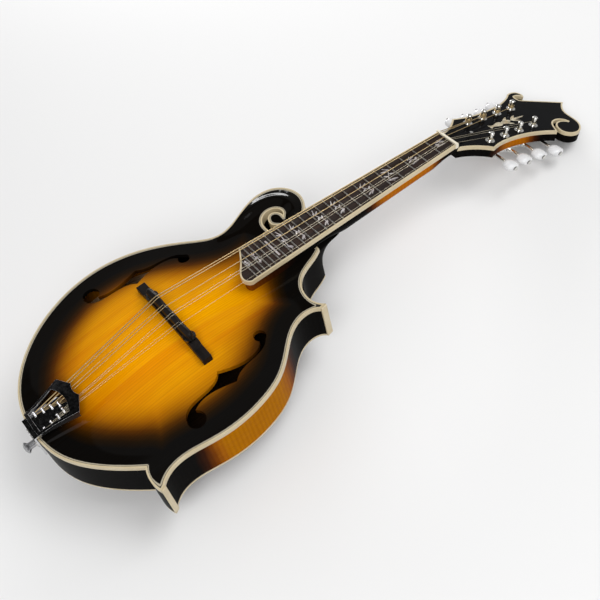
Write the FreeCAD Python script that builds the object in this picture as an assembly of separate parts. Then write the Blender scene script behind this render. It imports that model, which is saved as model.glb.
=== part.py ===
import FreeCAD, Part
import math
import os
from FreeCAD import Base, Vector

# Carved-top scroll mandolin, in millimetres.
# +X is the treble side, +Y runs from the end pin to the headstock, +Z comes out of the top.
# The origin is on the end pin's axis, 5 mm outside the tail end of the sides.

# ---- body ----
TOP_Z = 16.0            # flat rim of the top, above the end pin's axis
RIM_DEPTH = 45.0        # between the flat rims of top and back
BACK_Z = TOP_Z - RIM_DEPTH
TOP_THICK = 4.6
BACK_THICK = 4.0
SIDE_THICK = 2.6
BIND_W = 1.8            # width of the cream binding
PURFLING_W = 1.7
PURFLING_DEEP = 1.0
BACK_BIND_DEEP = 2.4
ARCH_TOP = 15.0
ARCH_BACK = 13.0
ARCH_CENTRE_Y = 160.0
ARCH_HALF_X = 118.0
ARCH_HALF_Y = 146.0
ARCH_FULLNESS = 0.9
LINING_W = 5.0
LINING_DEEP = 8.0
JOINT_Y = 330.0         # where the neck meets the body

# ---- strings and neck ----
SCALE = 352.4
FRET_COUNT = 24
NUT_Y = 520.8
NUT_RISE = 0.05         # board surface at the nut, above the rim of the top
NECK_TILT = 4.55        # degrees that the board leans back
BOARD_THICK = 5.0
BOARD_W_NUT = 28.7
BOARD_W_LAST = 45.1     # at the last fret
BOARD_BIND = 1.6
NUT_THICK = 4.0
NECK_DEPTH_NUT = 11.0   # under the board
NECK_DEPTH_HEEL = 14.5
BRIDGE_Y = 169.0
SADDLE_RISE = 31.0      # top of the saddle above the rim of the top

# ---- headstock ----
HEAD_TILT = 15.2        # below the board's plane
HEAD_DROP = 6.5
HEAD_THICK = 12.5
FACE_PLATE = 2.5
HEAD_BIND_DEEP = 4.0
POST_R = 3.0
POST_RISE = 11.0

# ---- machine heads, a row of four on each side: -1 is the bass row, 1 the treble row ----
ROW_X = {-1: 17.8, 1: 20.5}                # from the headstock's centre line to the posts
ROW_START = {-1: 46.7, 1: 42.5}            # from the nut to the first post
POST_STEP = 23.3
BUTTON_X = {-1: [44.4, 43.2, 43.9, 47.9], 1: [49.0, 47.8, 48.5, 52.5]}    # middle of each button
GEAR_TEETH = 16
GEAR_PITCH_R = 4.8
WORM_R = 3.2
WORM_PITCH = 2 * math.pi * GEAR_PITCH_R / GEAR_TEETH
TUNER_PLATE = 1.2
GEAR_W = -HEAD_THICK - TUNER_PLATE - 2.7   # mid-height of the gears and worm shafts

WOUND_R = [0.50, 0.50, 0.36, 0.36]
PLAIN_R = [0.20, 0.20, 0.15, 0.15]
FIT = 0.05              # running clearance, in radius

# ---- smaller sizes ----
SLOT_BIND_DEEP = 10.0
TONE_BAR_DEEP = 8.0
PROTECTOR_THICK = 1.8
POINT_FACETS = [((78.6, 291.8), (79.8, 284.6)), ((131.6, 69.8), (134.6, 64.6))]
# Half width, reach from the joint, and height of each section of the heel.
HEEL_SECTIONS = [(11.5, 9, BACK_Z), (13.5, 10.5, -15), (16, 14, -4), (18, 22, 5), (19.5, 38, 12)]
INLAY_DEEP = 0.6
# Fret at the far end of each inlaid space, and the inlay's width.
VINES = [(1, 10), (3, 12), (5, 22), (7, 20), (10, 22), (12, 27), (15, 27), (17, 30), (22, 18), (24, 9)]
FRET_HALF = 0.75
FRET_HIGH = 0.9
TANG_HALF = 0.25
TANG_DEEP = 1.6
NUT_ACTION = 0.9        # strings above the board at the nut
HOOKS = [(11.0, 18), (9.2, 26), (7.0, 34), (4.4, 41)]
HOOK_RISE = 6.2
FRAME_REAR_RISE = 8.0
FRAME_FRONT_RISE = 14.6
FRAME_THICK = 1.6
PIN_SHANK_R = 3.2
PIN_WAIST_R = 3.6
PIN_PLATE_LOW = -9.0
TAIL_SCREWS = [(-9, 8.5), (0, 9.5), (9, 8.5)]
BRIDGE_BASE_TOP = 20.4  # above the rim of the top
WHEEL_THICK = 2.4
WHEEL_R = 6.5
WHEEL_NOTCHES = 24
STUD_R = 1.9
STUD_X = (-33.0, 33.0)
SADDLE_HALF = 40.0
POST_WAIST_R = 2.5
WRAP_LOW = 2.6          # lowest string turn, above the headstock's face
WRAP_TURNS = 4
BUSHING_R = 4.2
BUSHING_DEEP = 5.0
WORM_U = 8.0            # worm shaft ahead of its post
WORM_SHAFT_R = 2.0
WORM_LONG = 9.0
PLATE_HALF = 7.2        # half width of the plates that carry the gears
PLATE_BEFORE = 7.5      # plate in front of its first post
PLATE_AFTER = 15.6      # plate behind its last post
EAR_THICK = 1.8
EAR_HALF = 3.0
GEAR_HALF = 1.5         # half the gears' thickness
GEAR_END = 2.9          # from mid-gear to the post's lower end
SCREW_R = 0.9
BUTTON_LONG = 16.5
BUTTON_BORE = 1.5
BUTTON_SECTIONS = [(0.0, 3.4, 2.9), (0.07, 5.0, 3.6), (0.28, 8.0, 4.5), (0.55, 9.0, 4.8), (0.8, 8.0, 4.5),
                   (0.95, 5.2, 3.6), (1.0, 3.8, 2.9)]   # share of length, half width, half thickness

os.makedirs("parts", exist_ok=True)


# ================= helpers =================
def spline(points):
    """Smooth edge through flat points."""
    curve = Part.BSplineCurve()
    curve.interpolate(Points=[Vector(x, y, 0) for x, y in points])
    return curve.toShape()


def arc(a, b, c):
    return Part.Arc(Vector(*a, 0), Vector(*b, 0), Vector(*c, 0)).toShape()


def line(a, b):
    return Part.LineSegment(Vector(*a, 0), Vector(*b, 0)).toShape()


def polygon(points):
    ring = [Vector(x, y, 0) for x, y in points]
    return Part.makePolygon(ring + ring[:1])


def prism(wire, low, high):
    """Solid between two heights over a flat closed wire."""
    face = Part.Face(wire)
    face.translate(Vector(0, 0, low))
    return face.extrude(Vector(0, 0, high - low))


def box(x0, x1, y0, y1, z0, z1):
    return Part.makeBox(x1 - x0, y1 - y0, z1 - z0, Vector(x0, y0, z0))


def cylinder(radius, start, end):
    start, end = Vector(*start), Vector(*end)
    return Part.makeCylinder(radius, (end - start).Length, start, end - start)


def turned(profile):
    """Solid turned about Z from (radius, height) points."""
    points = [Vector(r, 0, z) for r, z in profile]
    face = Part.Face(Part.makePolygon(points + points[:1]))
    return face.revolve(Vector(0, 0, 0), Vector(0, 0, 1), 360)


def crossing(a, b, c, d):
    """Where two flat segments cross, or None."""
    r, s, q = b - a, d - c, c - a
    under = r.x * s.y - r.y * s.x
    if abs(under) < 1e-12:
        return None
    t = (q.x * s.y - q.y * s.x) / under
    k = (q.x * r.y - q.y * r.x) / under
    return a + r * t if 0 <= t <= 1 and 0 <= k <= 1 else None


def join_corner(first, second, limit):
    """Trims two moved runs where they cross, or finds the places that carry them on to a sharp corner."""
    near = 0.6
    reach = min(len(first), len(second), 90) - 1
    for total in range(2 * reach - 1):
        for i in range(max(0, total - reach + 1), min(total, reach - 1) + 1):
            j = total - i
            spot = crossing(first[-2 - i], first[-1 - i], second[j], second[j + 1])
            if spot:
                before = first[:-1 - i]
                after = second[j + 1:]
                while len(before) > 1 and (before[-1] - spot).Length < near:
                    before.pop()
                while len(after) > 1 and (after[0] - spot).Length < near:
                    after.pop(0)
                return before + [spot], [spot] + after, []
    far_first = first[-1] + (first[-1] - first[-2]) * 1000
    far_second = second[0] + (second[0] - second[1]) * 1000
    spot = crossing(first[-1], far_first, second[0], far_second)
    if spot and (spot - first[-1]).Length < limit:
        return first, second, [spot]
    return first, second, []


def inset(wire, amount):
    """The closed flat wire moved inwards (positive) or outwards (negative), as smooth edges."""
    runs = []
    doubled_area = 0
    for edge in wire.OrderedEdges:
        places = edge.discretize(Number=max(12, int(edge.Length / 1.2)))
        if edge.Orientation == "Reversed":
            places.reverse()
        runs.append(places)
        doubled_area += sum(p.x * q.y - p.y * q.x for p, q in zip(places, places[1:]))
    side = amount if doubled_area > 0 else -amount
    moved = []
    for places in runs:
        run = []
        for k, place in enumerate(places):
            along = places[min(k + 1, len(places) - 1)] - places[max(k - 1, 0)]
            run.append(place + Vector(-along.y, along.x, 0).normalize() * side)
        moved.append(run)
    corners = []
    for k in range(len(moved)):
        after = (k + 1) % len(moved)
        moved[k], moved[after], spots = join_corner(moved[k], moved[after], 3 * abs(amount))
        corners.append(spots)
    edges = []
    for k, run in enumerate(moved):
        edges.append(smooth_run(run))
        stops = [run[-1]] + corners[k] + [moved[(k + 1) % len(moved)][0]]
        edges += [Part.LineSegment(p, q).toShape() for p, q in zip(stops, stops[1:])
                  if (q - p).Length > 1e-6]
    return Part.Wire(edges)


def smooth_run(run):
    """One edge along a run of close places: a line if they are in line, else a smooth spline."""
    length = sum((q - p).Length for p, q in zip(run, run[1:]))
    if length - (run[-1] - run[0]).Length < 1e-6:
        return Part.LineSegment(run[0], run[-1]).toShape()
    curve = Part.BSplineCurve()
    curve.interpolate(Points=run[:-3:4] + [run[-1]])
    return curve.toShape()


def mirrored(shape):
    return shape.mirror(Vector(0, 0, 0), Vector(1, 0, 0))


def placed(shape, matrix):
    moved = shape.copy()
    moved.transformShape(matrix, True)
    return moved


def save(name, shapes):
    """Writes one sub-part: a solid, or a group of separate solids."""
    group = shapes if isinstance(shapes, list) else [shapes]
    solids = [solid for shape in group for solid in shape.Solids]
    whole = solids[0] if len(solids) == 1 else Part.makeCompound(solids)
    good = solids and all(solid.isValid() and solid.Volume > 0 for solid in solids)
    print(f"{name:22s} solids {len(solids):3d} volume {whole.Volume:10.1f}", "" if good else "BAD")
    whole.exportStep(f"parts/{name}.step")


# The board's frame: X across, Y along the board with 0 at the front of the nut and + towards
# the headstock, Z out of the board with 0 on its surface.
BOARD = Base.Matrix()
BOARD.rotateX(math.radians(-NECK_TILT))
BOARD.move(Vector(0, NUT_Y, TOP_Z + NUT_RISE))

# The headstock's frame: the same, with 0 on the face plate's surface just behind the nut.
HEAD = Base.Matrix()
HEAD.rotateX(math.radians(-HEAD_TILT))
HEAD.move(Vector(0, NUT_THICK, -HEAD_DROP))
HEAD = BOARD.multiply(HEAD)


# ================= outlines =================
def body_edges(blunt=True):
    """Outline of the body. Its two points end in short flats, or in sharp tips."""
    tips = POINT_FACETS
    if not blunt:
        tips = [[((a[0] + b[0]) / 2, (a[1] + b[1]) / 2)] * 2 for a, b in POINT_FACETS]
    bass = [(105.7, 66.2), (78.6, 36.8), (44.4, 13.4), (0, 5), (-44.4, 13.4), (-80.4, 37.9), (-110.4, 80.1),
            (-125.3, 146.3), (-112.4, 198.4), (-84.5, 241.4), (-69.4, 268), (-73.2, 290), (-84, 319),
            (-80.6, 347), (-55, 361.8), (-31, 352), (-22.6, JOINT_Y)]
    cutaway = [(20.8, JOINT_Y), (27.5, 316), (36, 297), (50, 286.5), (66, 284.8), tips[0][0]]
    waist = [tips[0][1], (76, 279.5), (74.2, 269), (79.5, 252.5), (97.5, 231), (113.2, 211),
             (123.8, 182), (127.2, 150), (124.6, 124), (121, 100), (122, 87), tips[1][0]]
    edges = [
        spline(bass),
        line((-22.6, JOINT_Y), (20.8, JOINT_Y)),
        spline(cutaway),
        line(*tips[0]) if blunt else None,
        spline(waist),
        line(*tips[1]) if blunt else None,
        arc(tips[1][1], (121, 62.4), (105.7, 66.2)),
    ]
    return [edge for edge in edges if edge]


def slot_edges():
    """The curl that separates the scroll's core from the body."""
    outer = [(-23, 308.6), (-38, 308.3), (-50, 310.4), (-58, 321.5), (-54, 332.3), (-48.5, 334.4),
             (-42.5, 331.8)]
    core = [(-42.5, 331.8), (-48.5, 330.6), (-53, 325.5), (-51, 318.5), (-45.5, 315.6), (-40.9, 315.2),
            (-37, 317.2), (-30, 322.5)]
    return [spline(outer), spline(core), line((-30, 322.5), (-23, 320)), line((-23, 320), (-23, 308.6))]


def f_hole():
    """Treble f-hole: two eyes and the stem with its wing points."""
    outer = [(69, 226.6), (77.5, 219.5), (81.6, 208), (83.2, 197), (91.4, 177.6)]
    lower = [(91.4, 177.6), (87, 160), (86, 144), (90.5, 131)]
    inner = [(93, 119), (86, 125), (81.5, 145), (72, 169.4)]
    upper = [(72, 169.4), (78.5, 190), (78.6, 206), (74, 216.5), (69, 219.5)]
    stem = Part.Wire([spline(outer), spline(lower), line((90.5, 131), (93, 119)),
                      spline(inner), spline(upper), line((69, 219.5), (69, 226.6))])
    low, high = TOP_Z - 12, TOP_Z + 25
    eyes = [Part.makeCylinder(6.2, high - low, Vector(66.5, 222.5, low)),
            Part.makeCylinder(9.0, high - low, Vector(98, 127.3, low))]
    return prism(stem, low, high).multiFuse(eyes)


def head_edges():
    """Headstock outline in the headstock's frame, from the treble end of the nut."""
    side = [(33, 37.5), (28.6, 55), (27.9, 74), (30.8, 98), (42.5, 129.5)]
    slot_in = [(42.5, 129.5), (33, 134.2), (26, 141), (25, 150), (34.5, 158.5)]
    slot_out = [(34.5, 158.5), (28.6, 151), (29, 143), (36, 136), (44, 134.3)]
    lobe = [(44, 134.3), (52, 139.5), (54.8, 149), (50.5, 160.5), (38, 169), (17, 171.8), (7.5, 178.5),
            (0.5, 188)]
    curl = [(-26.5, 143.5), (-31, 141.2), (-36.5, 143), (-36.2, 147.4), (-29.8, 151.5)]
    knob = [(-29.8, 151.5), (-35, 155), (-42, 153), (-44.8, 146), (-41, 135)]
    bass = [(-41, 135), (-32.5, 115), (-28.2, 90), (-28.6, 58), (-33, 37.5)]
    return [
        arc((14.35, 0), (22, 22.5), (33, 37.5)),
        spline(side),
        spline(slot_in),
        spline(slot_out),
        spline(lobe),
        line((0.5, 188), (-26.5, 143.5)),
        spline(curl),
        spline(knob),
        spline(bass),
        arc((-33, 37.5), (-22, 22.5), (-14.35, 0)),
        line((-14.35, 0), (14.35, 0)),
    ]


BODY = Part.Wire(body_edges())
SLOT = Part.Wire(slot_edges())
HEADSTOCK = Part.Wire(head_edges())


# ================= body =================
def arch(x, y):
    """Share of the arch's height over a point: 1 in the middle, 0 from the rim's ellipse outwards."""
    r = math.hypot(x / ARCH_HALF_X, (y - ARCH_CENTRE_Y) / ARCH_HALF_Y)
    return (0.5 + 0.5 * math.cos(math.pi * min(r, 1.0))) ** ARCH_FULLNESS


def arched_block(flat_z, rise, dip, depth):
    """Everything between an arched surface and its copy moved by depth; flat_z - dip beyond the arch."""
    step = 9.0
    rows = []
    for i in range(34):
        x = -148.5 + step * i
        rows.append([Vector(x, -13.5 + step * j, flat_z - dip + (rise + dip) * arch(x, -13.5 + step * j))
                     for j in range(44)])
    surface = Part.BSplineSurface()
    surface.interpolate(rows)
    return Part.Face(surface).extrude(Vector(0, 0, depth))


def arched_plate(flat_z, rise, thick, up):
    """A carved plate with a flat glued rim; up is 1 for the top and -1 for the back."""
    dip = 0.35
    area = inset(BODY, BIND_W)
    inner_z = flat_z - up * thick
    low, high = sorted((flat_z, inner_z))
    flat = prism(area, low, high)
    dome = arched_block(flat_z, up * rise, up * dip, -up * 20)
    dome = dome.common(prism(area, min(flat_z, flat_z + up * 40), max(flat_z, flat_z + up * 40)))
    hollow = arched_block(inner_z, up * rise, up * dip, -up * 40)
    return flat.fuse(dome).cut(hollow).cut(prism(inset(SLOT, -BIND_W), BACK_Z - 30, TOP_Z + 30))


def ring(outer, inner, low, high):
    return prism(outer, low, high).cut(prism(inner, low, high))


def make_body():
    bound = inset(BODY, BIND_W)
    ribs_in = inset(BODY, SIDE_THICK)
    slot_out = inset(SLOT, -BIND_W)
    slot_purfled = inset(SLOT, -BIND_W - PURFLING_W)
    purfled = inset(Part.Wire(body_edges(False)), BIND_W + PURFLING_W)
    top_low = TOP_Z - TOP_THICK
    back_high = BACK_Z + BACK_THICK

    f_treble = f_hole()
    groove_low = TOP_Z - PURFLING_DEEP
    groove_top = TOP_Z + 5
    purfling = [ring(bound, purfled, groove_low, TOP_Z), ring(slot_purfled, slot_out, groove_low, TOP_Z)]
    groove = [ring(bound, purfled, groove_low, groove_top),
              ring(slot_purfled, slot_out, groove_low, groove_top)]
    top = arched_plate(TOP_Z, ARCH_TOP, TOP_THICK, 1)
    top = top.cut([f_treble, mirrored(f_treble)] + groove)
    back = arched_plate(BACK_Z, ARCH_BACK, BACK_THICK, -1)
    save("top_plate", top)
    save("back_plate", back)
    save("top_purfling", purfling)

    slot_bind_low = TOP_Z - SLOT_BIND_DEEP
    save("top_binding", [ring(BODY, bound, top_low, TOP_Z), ring(slot_out, SLOT, slot_bind_low, TOP_Z)])
    back_bind_high = BACK_Z + BACK_BIND_DEEP
    back_rings = [ring(BODY, bound, BACK_Z, back_bind_high), ring(slot_out, SLOT, BACK_Z, back_bind_high)]
    save("back_binding", back_rings)

    tenon = tenon_block()
    pin_hole = cylinder(PIN_SHANK_R, (0, -20, 0), (0, 40, 0))
    sides = ring(BODY, ribs_in, back_bind_high, top_low).cut(prism(bound, BACK_Z, back_high))
    slot_side = ring(slot_out, SLOT, back_bind_high, slot_bind_low)
    save("sides", [sides.cut([tenon, pin_hole]), slot_side])

    inside = prism(ribs_in, back_high, top_low).cut(prism(slot_out, back_high, top_low))
    regions = {
        "head": box(-90, 40, 300, 370, back_high, top_low),
        "tail": box(-38, 38, 0, 27, back_high, top_low),
        "low_point": box(110, 140, 55, 82, back_high, top_low),
        "high_point": box(62, 90, 275, 295, back_high, top_low),
    }
    blocks = [inside.common(region) for region in regions.values()]
    blocks[0] = blocks[0].cut(tenon)
    blocks[1] = blocks[1].cut(pin_hole)
    save("blocks", blocks)

    lining_in = inset(Part.Wire(body_edges(False)), SIDE_THICK + LINING_W)
    linings = [ring(ribs_in, lining_in, top_low - LINING_DEEP, top_low),
               ring(ribs_in, lining_in, back_high, back_high + LINING_DEEP)]
    save("linings", [lining.cut(list(regions.values())) for lining in linings])

    under_top = arched_block(top_low - 0.05, ARCH_TOP, 0.35, -TONE_BAR_DEEP)
    bars = [box(x - 3, x + 3, 85, 245, top_low - 5, TOP_Z + 20).common(under_top) for x in (-27, 27)]
    save("tone_bars", bars)

    save("point_protectors", [prism(protector(a, b), BACK_Z, TOP_Z) for a, b in POINT_FACETS])


def protector(a, b):
    """Plan of the thin plate that covers the flat end of a body point."""
    along = Vector(b[0] - a[0], b[1] - a[1], 0)
    out = Vector(-along.y, along.x, 0).normalize() * PROTECTOR_THICK
    return polygon([a, b, (b[0] + out.x, b[1] + out.y), (a[0] + out.x, a[1] + out.y)])


def tenon_block():
    return box(-9, 9, JOINT_Y - 15, JOINT_Y, BACK_Z + 8, TOP_Z - TOP_THICK)


# ================= neck =================
def d_section(half, depth, v):
    """Neck cross-section at one place along the board: flat under the board, round at the back."""
    top = -BOARD_THICK
    points = [(-half, top), (-half * 0.93, top - depth * 0.5), (-half * 0.55, top - depth * 0.88),
              (0, top - depth),
              (half * 0.55, top - depth * 0.88), (half * 0.93, top - depth * 0.5), (half, top)]
    curve = Part.BSplineCurve()
    curve.interpolate(Points=[Vector(x, v, w) for x, w in points])
    flat = Part.LineSegment(Vector(half, v, top), Vector(-half, v, top)).toShape()
    return Part.Wire([curve.toShape(), flat])


def board_half(v):
    """Half the board's width at a distance from the nut."""
    last = SCALE * (1 - 2 ** (-FRET_COUNT / 12))
    return (BOARD_W_NUT + (BOARD_W_LAST - BOARD_W_NUT) * v / last) / 2


def heel_section(half, length, z):
    y = JOINT_Y
    points = [(half, y), (half * 0.92, y + length * 0.45), (half * 0.5, y + length * 0.88), (0, y + length),
              (-half * 0.5, y + length * 0.88), (-half * 0.92, y + length * 0.45), (-half, y)]
    curve = spline(points)
    wire = Part.Wire([curve, line((-half, y), (half, y))])
    wire.translate(Vector(0, 0, z))
    return wire


def head_prism(wire, low, high):
    return placed(prism(wire, low, high), HEAD)


def tuner_places():
    """For each machine head: number, side, the post's x and u, and the middle of its button."""
    places = []
    for side, first in ((-1, 1), (1, 5)):
        for k in range(4):
            u = ROW_START[side] + POST_STEP * k
            places.append((first + k, side, side * ROW_X[side], u, BUTTON_X[side][k]))
    return places


def make_neck():
    joint_v = (NUT_Y - JOINT_Y) / math.cos(math.radians(NECK_TILT))
    stations = [-6, 30, 90, 150, joint_v + 4]
    depths = [NECK_DEPTH_NUT, 11.2, 12.2, 13.4, NECK_DEPTH_HEEL]
    shaft = Part.makeLoft([d_section(board_half(v), d, -v) for v, d in zip(stations, depths)], True)
    shaft = placed(shaft, BOARD).cut(box(-60, 60, 200, JOINT_Y, -60, 60))
    heel = Part.makeLoft([heel_section(*s) for s in HEEL_SECTIONS], True)

    wood = prism(HEADSTOCK, -HEAD_THICK, -FACE_PLATE)
    bound = inset(HEADSTOCK, BIND_W)
    wood = wood.cut(ring(HEADSTOCK, bound, -HEAD_BIND_DEEP, 0))
    volute_back = [d_section(BOARD_W_NUT / 2, NECK_DEPTH_NUT + 1, -6),
                   d_section(BOARD_W_NUT / 2, NECK_DEPTH_NUT + 2.6, 4),
                   d_section(BOARD_W_NUT / 2 + 2, NECK_DEPTH_NUT + 2.6, 11)]
    volute = placed(Part.makeLoft(volute_back, True), BOARD)
    above_face = placed(box(-80, 80, 0, 220, -FACE_PLATE, 60), HEAD)
    volute = volute.cut(above_face)
    neck = shaft.multiFuse([heel, placed(wood, HEAD), volute, tenon_block()])
    neck = neck.cut(placed(box(-80, 80, -300, NUT_THICK, -BOARD_THICK, 60), BOARD))

    rod_w = -BOARD_THICK - 7.5
    rod = cylinder(2.4, (0, -150, rod_w), (0, 7, rod_w))
    channel = cylinder(2.4 + FIT, (0, -150, rod_w), (0, 12, rod_w))
    nut = cylinder(3.0, (0, 6.5, rod_w), (0, 11, rod_w))
    pocket = head_prism(polygon([(-4.5, 3), (4.5, 3), (4.5, 26), (-4.5, 26)]), -9, 0)
    cover_screw = placed(cylinder(SCREW_R, (0, 34, -1.5), (0, 34, 5)), HEAD)
    face_plate = head_prism(bound, -FACE_PLATE, 0)
    binding = head_prism(HEADSTOCK, -HEAD_BIND_DEEP, 0).cut(head_prism(bound, -HEAD_BIND_DEEP, 0))
    neck = neck.cut([placed(channel, BOARD), pocket, cover_screw, face_plate, binding])
    face_plate = face_plate.cut([pocket, cover_screw])
    nut_room = placed(box(-30, 30, -50, NUT_THICK, -BOARD_THICK, 60), BOARD)
    holes = []
    bush_holes = []
    for _, _, x, u, _ in tuner_places():
        holes.append(placed(cylinder(POST_R + 0.3, (x, u, -30), (x, u, 10)), HEAD))
        bush_holes.append(placed(cylinder(BUSHING_R, (x, u, -BUSHING_DEEP), (x, u, 10)), HEAD))
    neck = neck.cut(holes + bush_holes)
    face_plate = face_plate.cut(bush_holes + [nut_room])
    save("neck", neck)
    save("truss_rod", placed(rod.fuse(nut), BOARD))
    save("head_binding", binding.cut([nut_room, placed(box(-13, 13, -5, 3, -30, 5), HEAD)]))

    cover_edge = [(8.2, 6), (8.6, 13), (6.2, 22), (3.2, 30), (0, 39)]
    left = [(-x, u) for x, u in reversed(cover_edge)]
    cover = Part.Wire([spline(cover_edge), spline(left), line((-8.2, 6), (8.2, 6))])
    save("truss_rod_cover", head_prism(cover, 0, 1.5).cut(cover_screw))

    ornament = head_ornament()
    pockets = [prism(leaf, -INLAY_DEEP, 5) for leaf in ornament]
    vase, *leaves = [prism(outline, -INLAY_DEEP, 0) for outline in ornament]
    pieces = vase.multiFuse(leaves)
    face_plate = face_plate.cut([placed(pocket, HEAD) for pocket in pockets])
    save("head_plate", face_plate)
    save("head_inlay", placed(pieces, HEAD))


# ================= ornaments =================
def leaf(a, b, belly):
    """Pointed leaf between two points; belly is its half width."""
    ax, ay = a
    bx, by = b
    long = math.hypot(bx - ax, by - ay)
    nx, ny = (ay - by) / long * belly, (bx - ax) / long * belly
    mx, my = (ax + bx) / 2, (ay + by) / 2
    return Part.Wire([arc(a, (mx + nx, my + ny), b), arc(b, (mx - nx, my - ny), a)])


def head_ornament():
    """A vase with a stem and five leaves on the headstock's centre line."""
    vase = Part.Wire([spline([(-4.2, 64), (-1.6, 70), (-3.4, 76), (-1.0, 84)]), line((-1.0, 84), (1.0, 84)),
                      spline([(1.0, 84), (3.4, 76), (1.6, 70), (4.2, 64)]), line((4.2, 64), (-4.2, 64))])
    leaves = [leaf((0, 82), (0, 97), 3.6), leaf((0, 95), (0, 119), 1.6),
              leaf((-0.5, 86), (-7.5, 97), 1.7), leaf((0.5, 86), (7.5, 97), 1.7),
              leaf((-0.3, 98), (-6.0, 109), 1.5), leaf((0.3, 98), (6.0, 109), 1.5)]
    return [vase] + leaves


def vine(width, height, centre_v, flip):
    """A wavy stem with paired leaves that fills one space between frets."""
    half = width / 2
    steps = 8
    wave = []
    for k in range(steps + 1):
        t = k / steps
        wave.append((-half + width * t, flip * 0.22 * height * math.sin(2 * math.pi * t)))
    upper = [(x, v + 0.45) for x, v in wave]
    lower = [(x, v - 0.45) for x, v in reversed(wave)]
    stem = Part.Wire([spline(upper), line(upper[-1], lower[0]), spline(lower), line(lower[-1], upper[0])])
    shapes = [stem]
    for share, side in ((0.12, 1), (0.3, -1), (0.45, 1), (0.6, -1), (0.8, 1), (0.92, -1)):
        x = -half + width * share
        v = flip * 0.22 * height * math.sin(2 * math.pi * share)
        reach = height / 2 - abs(v) * 0.5
        shapes.append(leaf((x, v), (x + side * 0.16 * width, side * flip * reach), 0.9))
    for shape in shapes:
        shape.translate(Vector(0, -centre_v, 0))
    return shapes


# ================= fretboard =================
def fret_v(number):
    """Distance of a fret from the nut."""
    return SCALE * (1 - 2 ** (-number / 12))


def board_wire(beyond):
    """Board outline; its nut end is moved out by beyond."""
    end = [(22.65, -268), (21.6, -273.8), (16.7, -276.9), (7.5, -275.4), (0, -270), (-8.3, -264.2),
           (-17.5, -258.8), (-board_half(256.5), -256.5)]
    half = board_half(-beyond)
    return Part.Wire([line((-half, beyond), (half, beyond)), line((half, beyond), end[0]), spline(end),
                      line(end[-1], (-half, beyond))])


def make_board():
    core_wire = inset(board_wire(6), BOARD_BIND)
    keep = box(-40, 40, -300, 0, -20, 20)
    core = prism(core_wire, -BOARD_THICK, 0).common(keep)
    whole = prism(board_wire(6), -BOARD_THICK, 0).common(keep)
    binding = whole.cut(prism(core_wire, -BOARD_THICK, 0))

    crown_room = prism(inset(board_wire(6), BOARD_BIND + 0.15), -5, 5)
    frets = []
    for number in range(1, FRET_COUNT + 1):
        v = -fret_v(number)
        near, far = Vector(-30, v - FRET_HALF, 0), Vector(-30, v + FRET_HALF, 0)
        crest = Vector(-30, v, FRET_HIGH)
        crown = Part.Wire([Part.Arc(near, crest, far).toShape(), Part.LineSegment(far, near).toShape()])
        bar = Part.Face(crown).extrude(Vector(60, 0, 0))
        tang = box(-30, 30, v - TANG_HALF, v + TANG_HALF, -TANG_DEEP, 0)
        frets.append(bar.fuse(tang).common(crown_room).removeSplitter())
    inlays = []
    for number, width in VINES:
        space = fret_v(number) - fret_v(number - 1)
        room = min(space - 2.6, 13.0)
        centre = (fret_v(number) + fret_v(number - 1)) / 2
        flip = 1 if number % 4 == 1 else -1
        shapes = [prism(shape, -INLAY_DEEP, 0) for shape in vine(width, room, centre, flip)]
        inlays.append(shapes[0].multiFuse(shapes[1:]).removeSplitter())
    bar_v = (fret_v(19) + fret_v(18)) / 2
    inlays.append(box(-12, 13, -bar_v - 1.0, -bar_v + 1.0, -INLAY_DEEP, 0))
    core = core.cut(frets + inlays)
    save("fretboard", placed(core, BOARD))
    save("fretboard_binding", placed(binding, BOARD))
    save("frets", [placed(fret, BOARD) for fret in frets])
    save("fret_inlays", [placed(inlay, BOARD) for inlay in inlays])

    riser_wire = inset(board_wire(6), 3.0)
    riser = placed(prism(riser_wire, -60, -BOARD_THICK), BOARD)
    riser = riser.common(box(-40, 40, 200, JOINT_Y, TOP_Z + 0.05, 60))
    over_top = arched_block(TOP_Z + 0.05, ARCH_TOP, 0.35, -60)
    save("fretboard_riser", riser.cut(over_top))


# ================= strings =================
def string_lines():
    """For each string, bass to treble: name, radius, and its points in the body's frame."""
    lines = []
    for k in range(8):
        wound = k < 4
        radius = WOUND_R[k] if wound else PLAIN_R[k - 4]
        side = -1 if wound else 1
        pair = [0, 0, 1, 1, 1, 1, 0, 0][k]         # 0 is an outer pair, 1 an inner pair
        first = k % 2 == 0
        bridge_x = side * (6.9 if pair else 20.5) + (-1.6 if first else 1.6)
        nut_x = side * (3.65 if pair else 10.9) + (-1.25 if first else 1.25)
        order = [0, 1, 2, 3, 3, 2, 1, 0][k]        # how far along the headstock its post stands
        hook_x, hook_y = HOOKS[order]
        hook = Vector(side * hook_x, hook_y, TOP_Z + HOOK_RISE + radius)
        saddle = Vector(bridge_x, BRIDGE_Y, TOP_Z + SADDLE_RISE + 0.12 + radius)
        nut = BOARD.multVec(Vector(nut_x, 1.2, NUT_ACTION + radius))
        wrap_r = POST_WAIST_R + FIT + radius
        top_turn = WRAP_LOW + radius * 2 * (WRAP_TURNS - 0.5)
        post_u = ROW_START[side] + POST_STEP * order
        post = HEAD.multVec(Vector(side * (ROW_X[side] - wrap_r), post_u, top_turn))
        lines.append((k, radius, [hook, saddle, nut, post]))
    return lines


def string_solid(points, radius):
    pieces = [cylinder(radius, a, b) for a, b in zip(points, points[1:])]
    joints = [Part.makeSphere(radius, p) for p in points[1:-1]]
    return pieces[0].multiFuse(pieces[1:] + joints)


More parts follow.
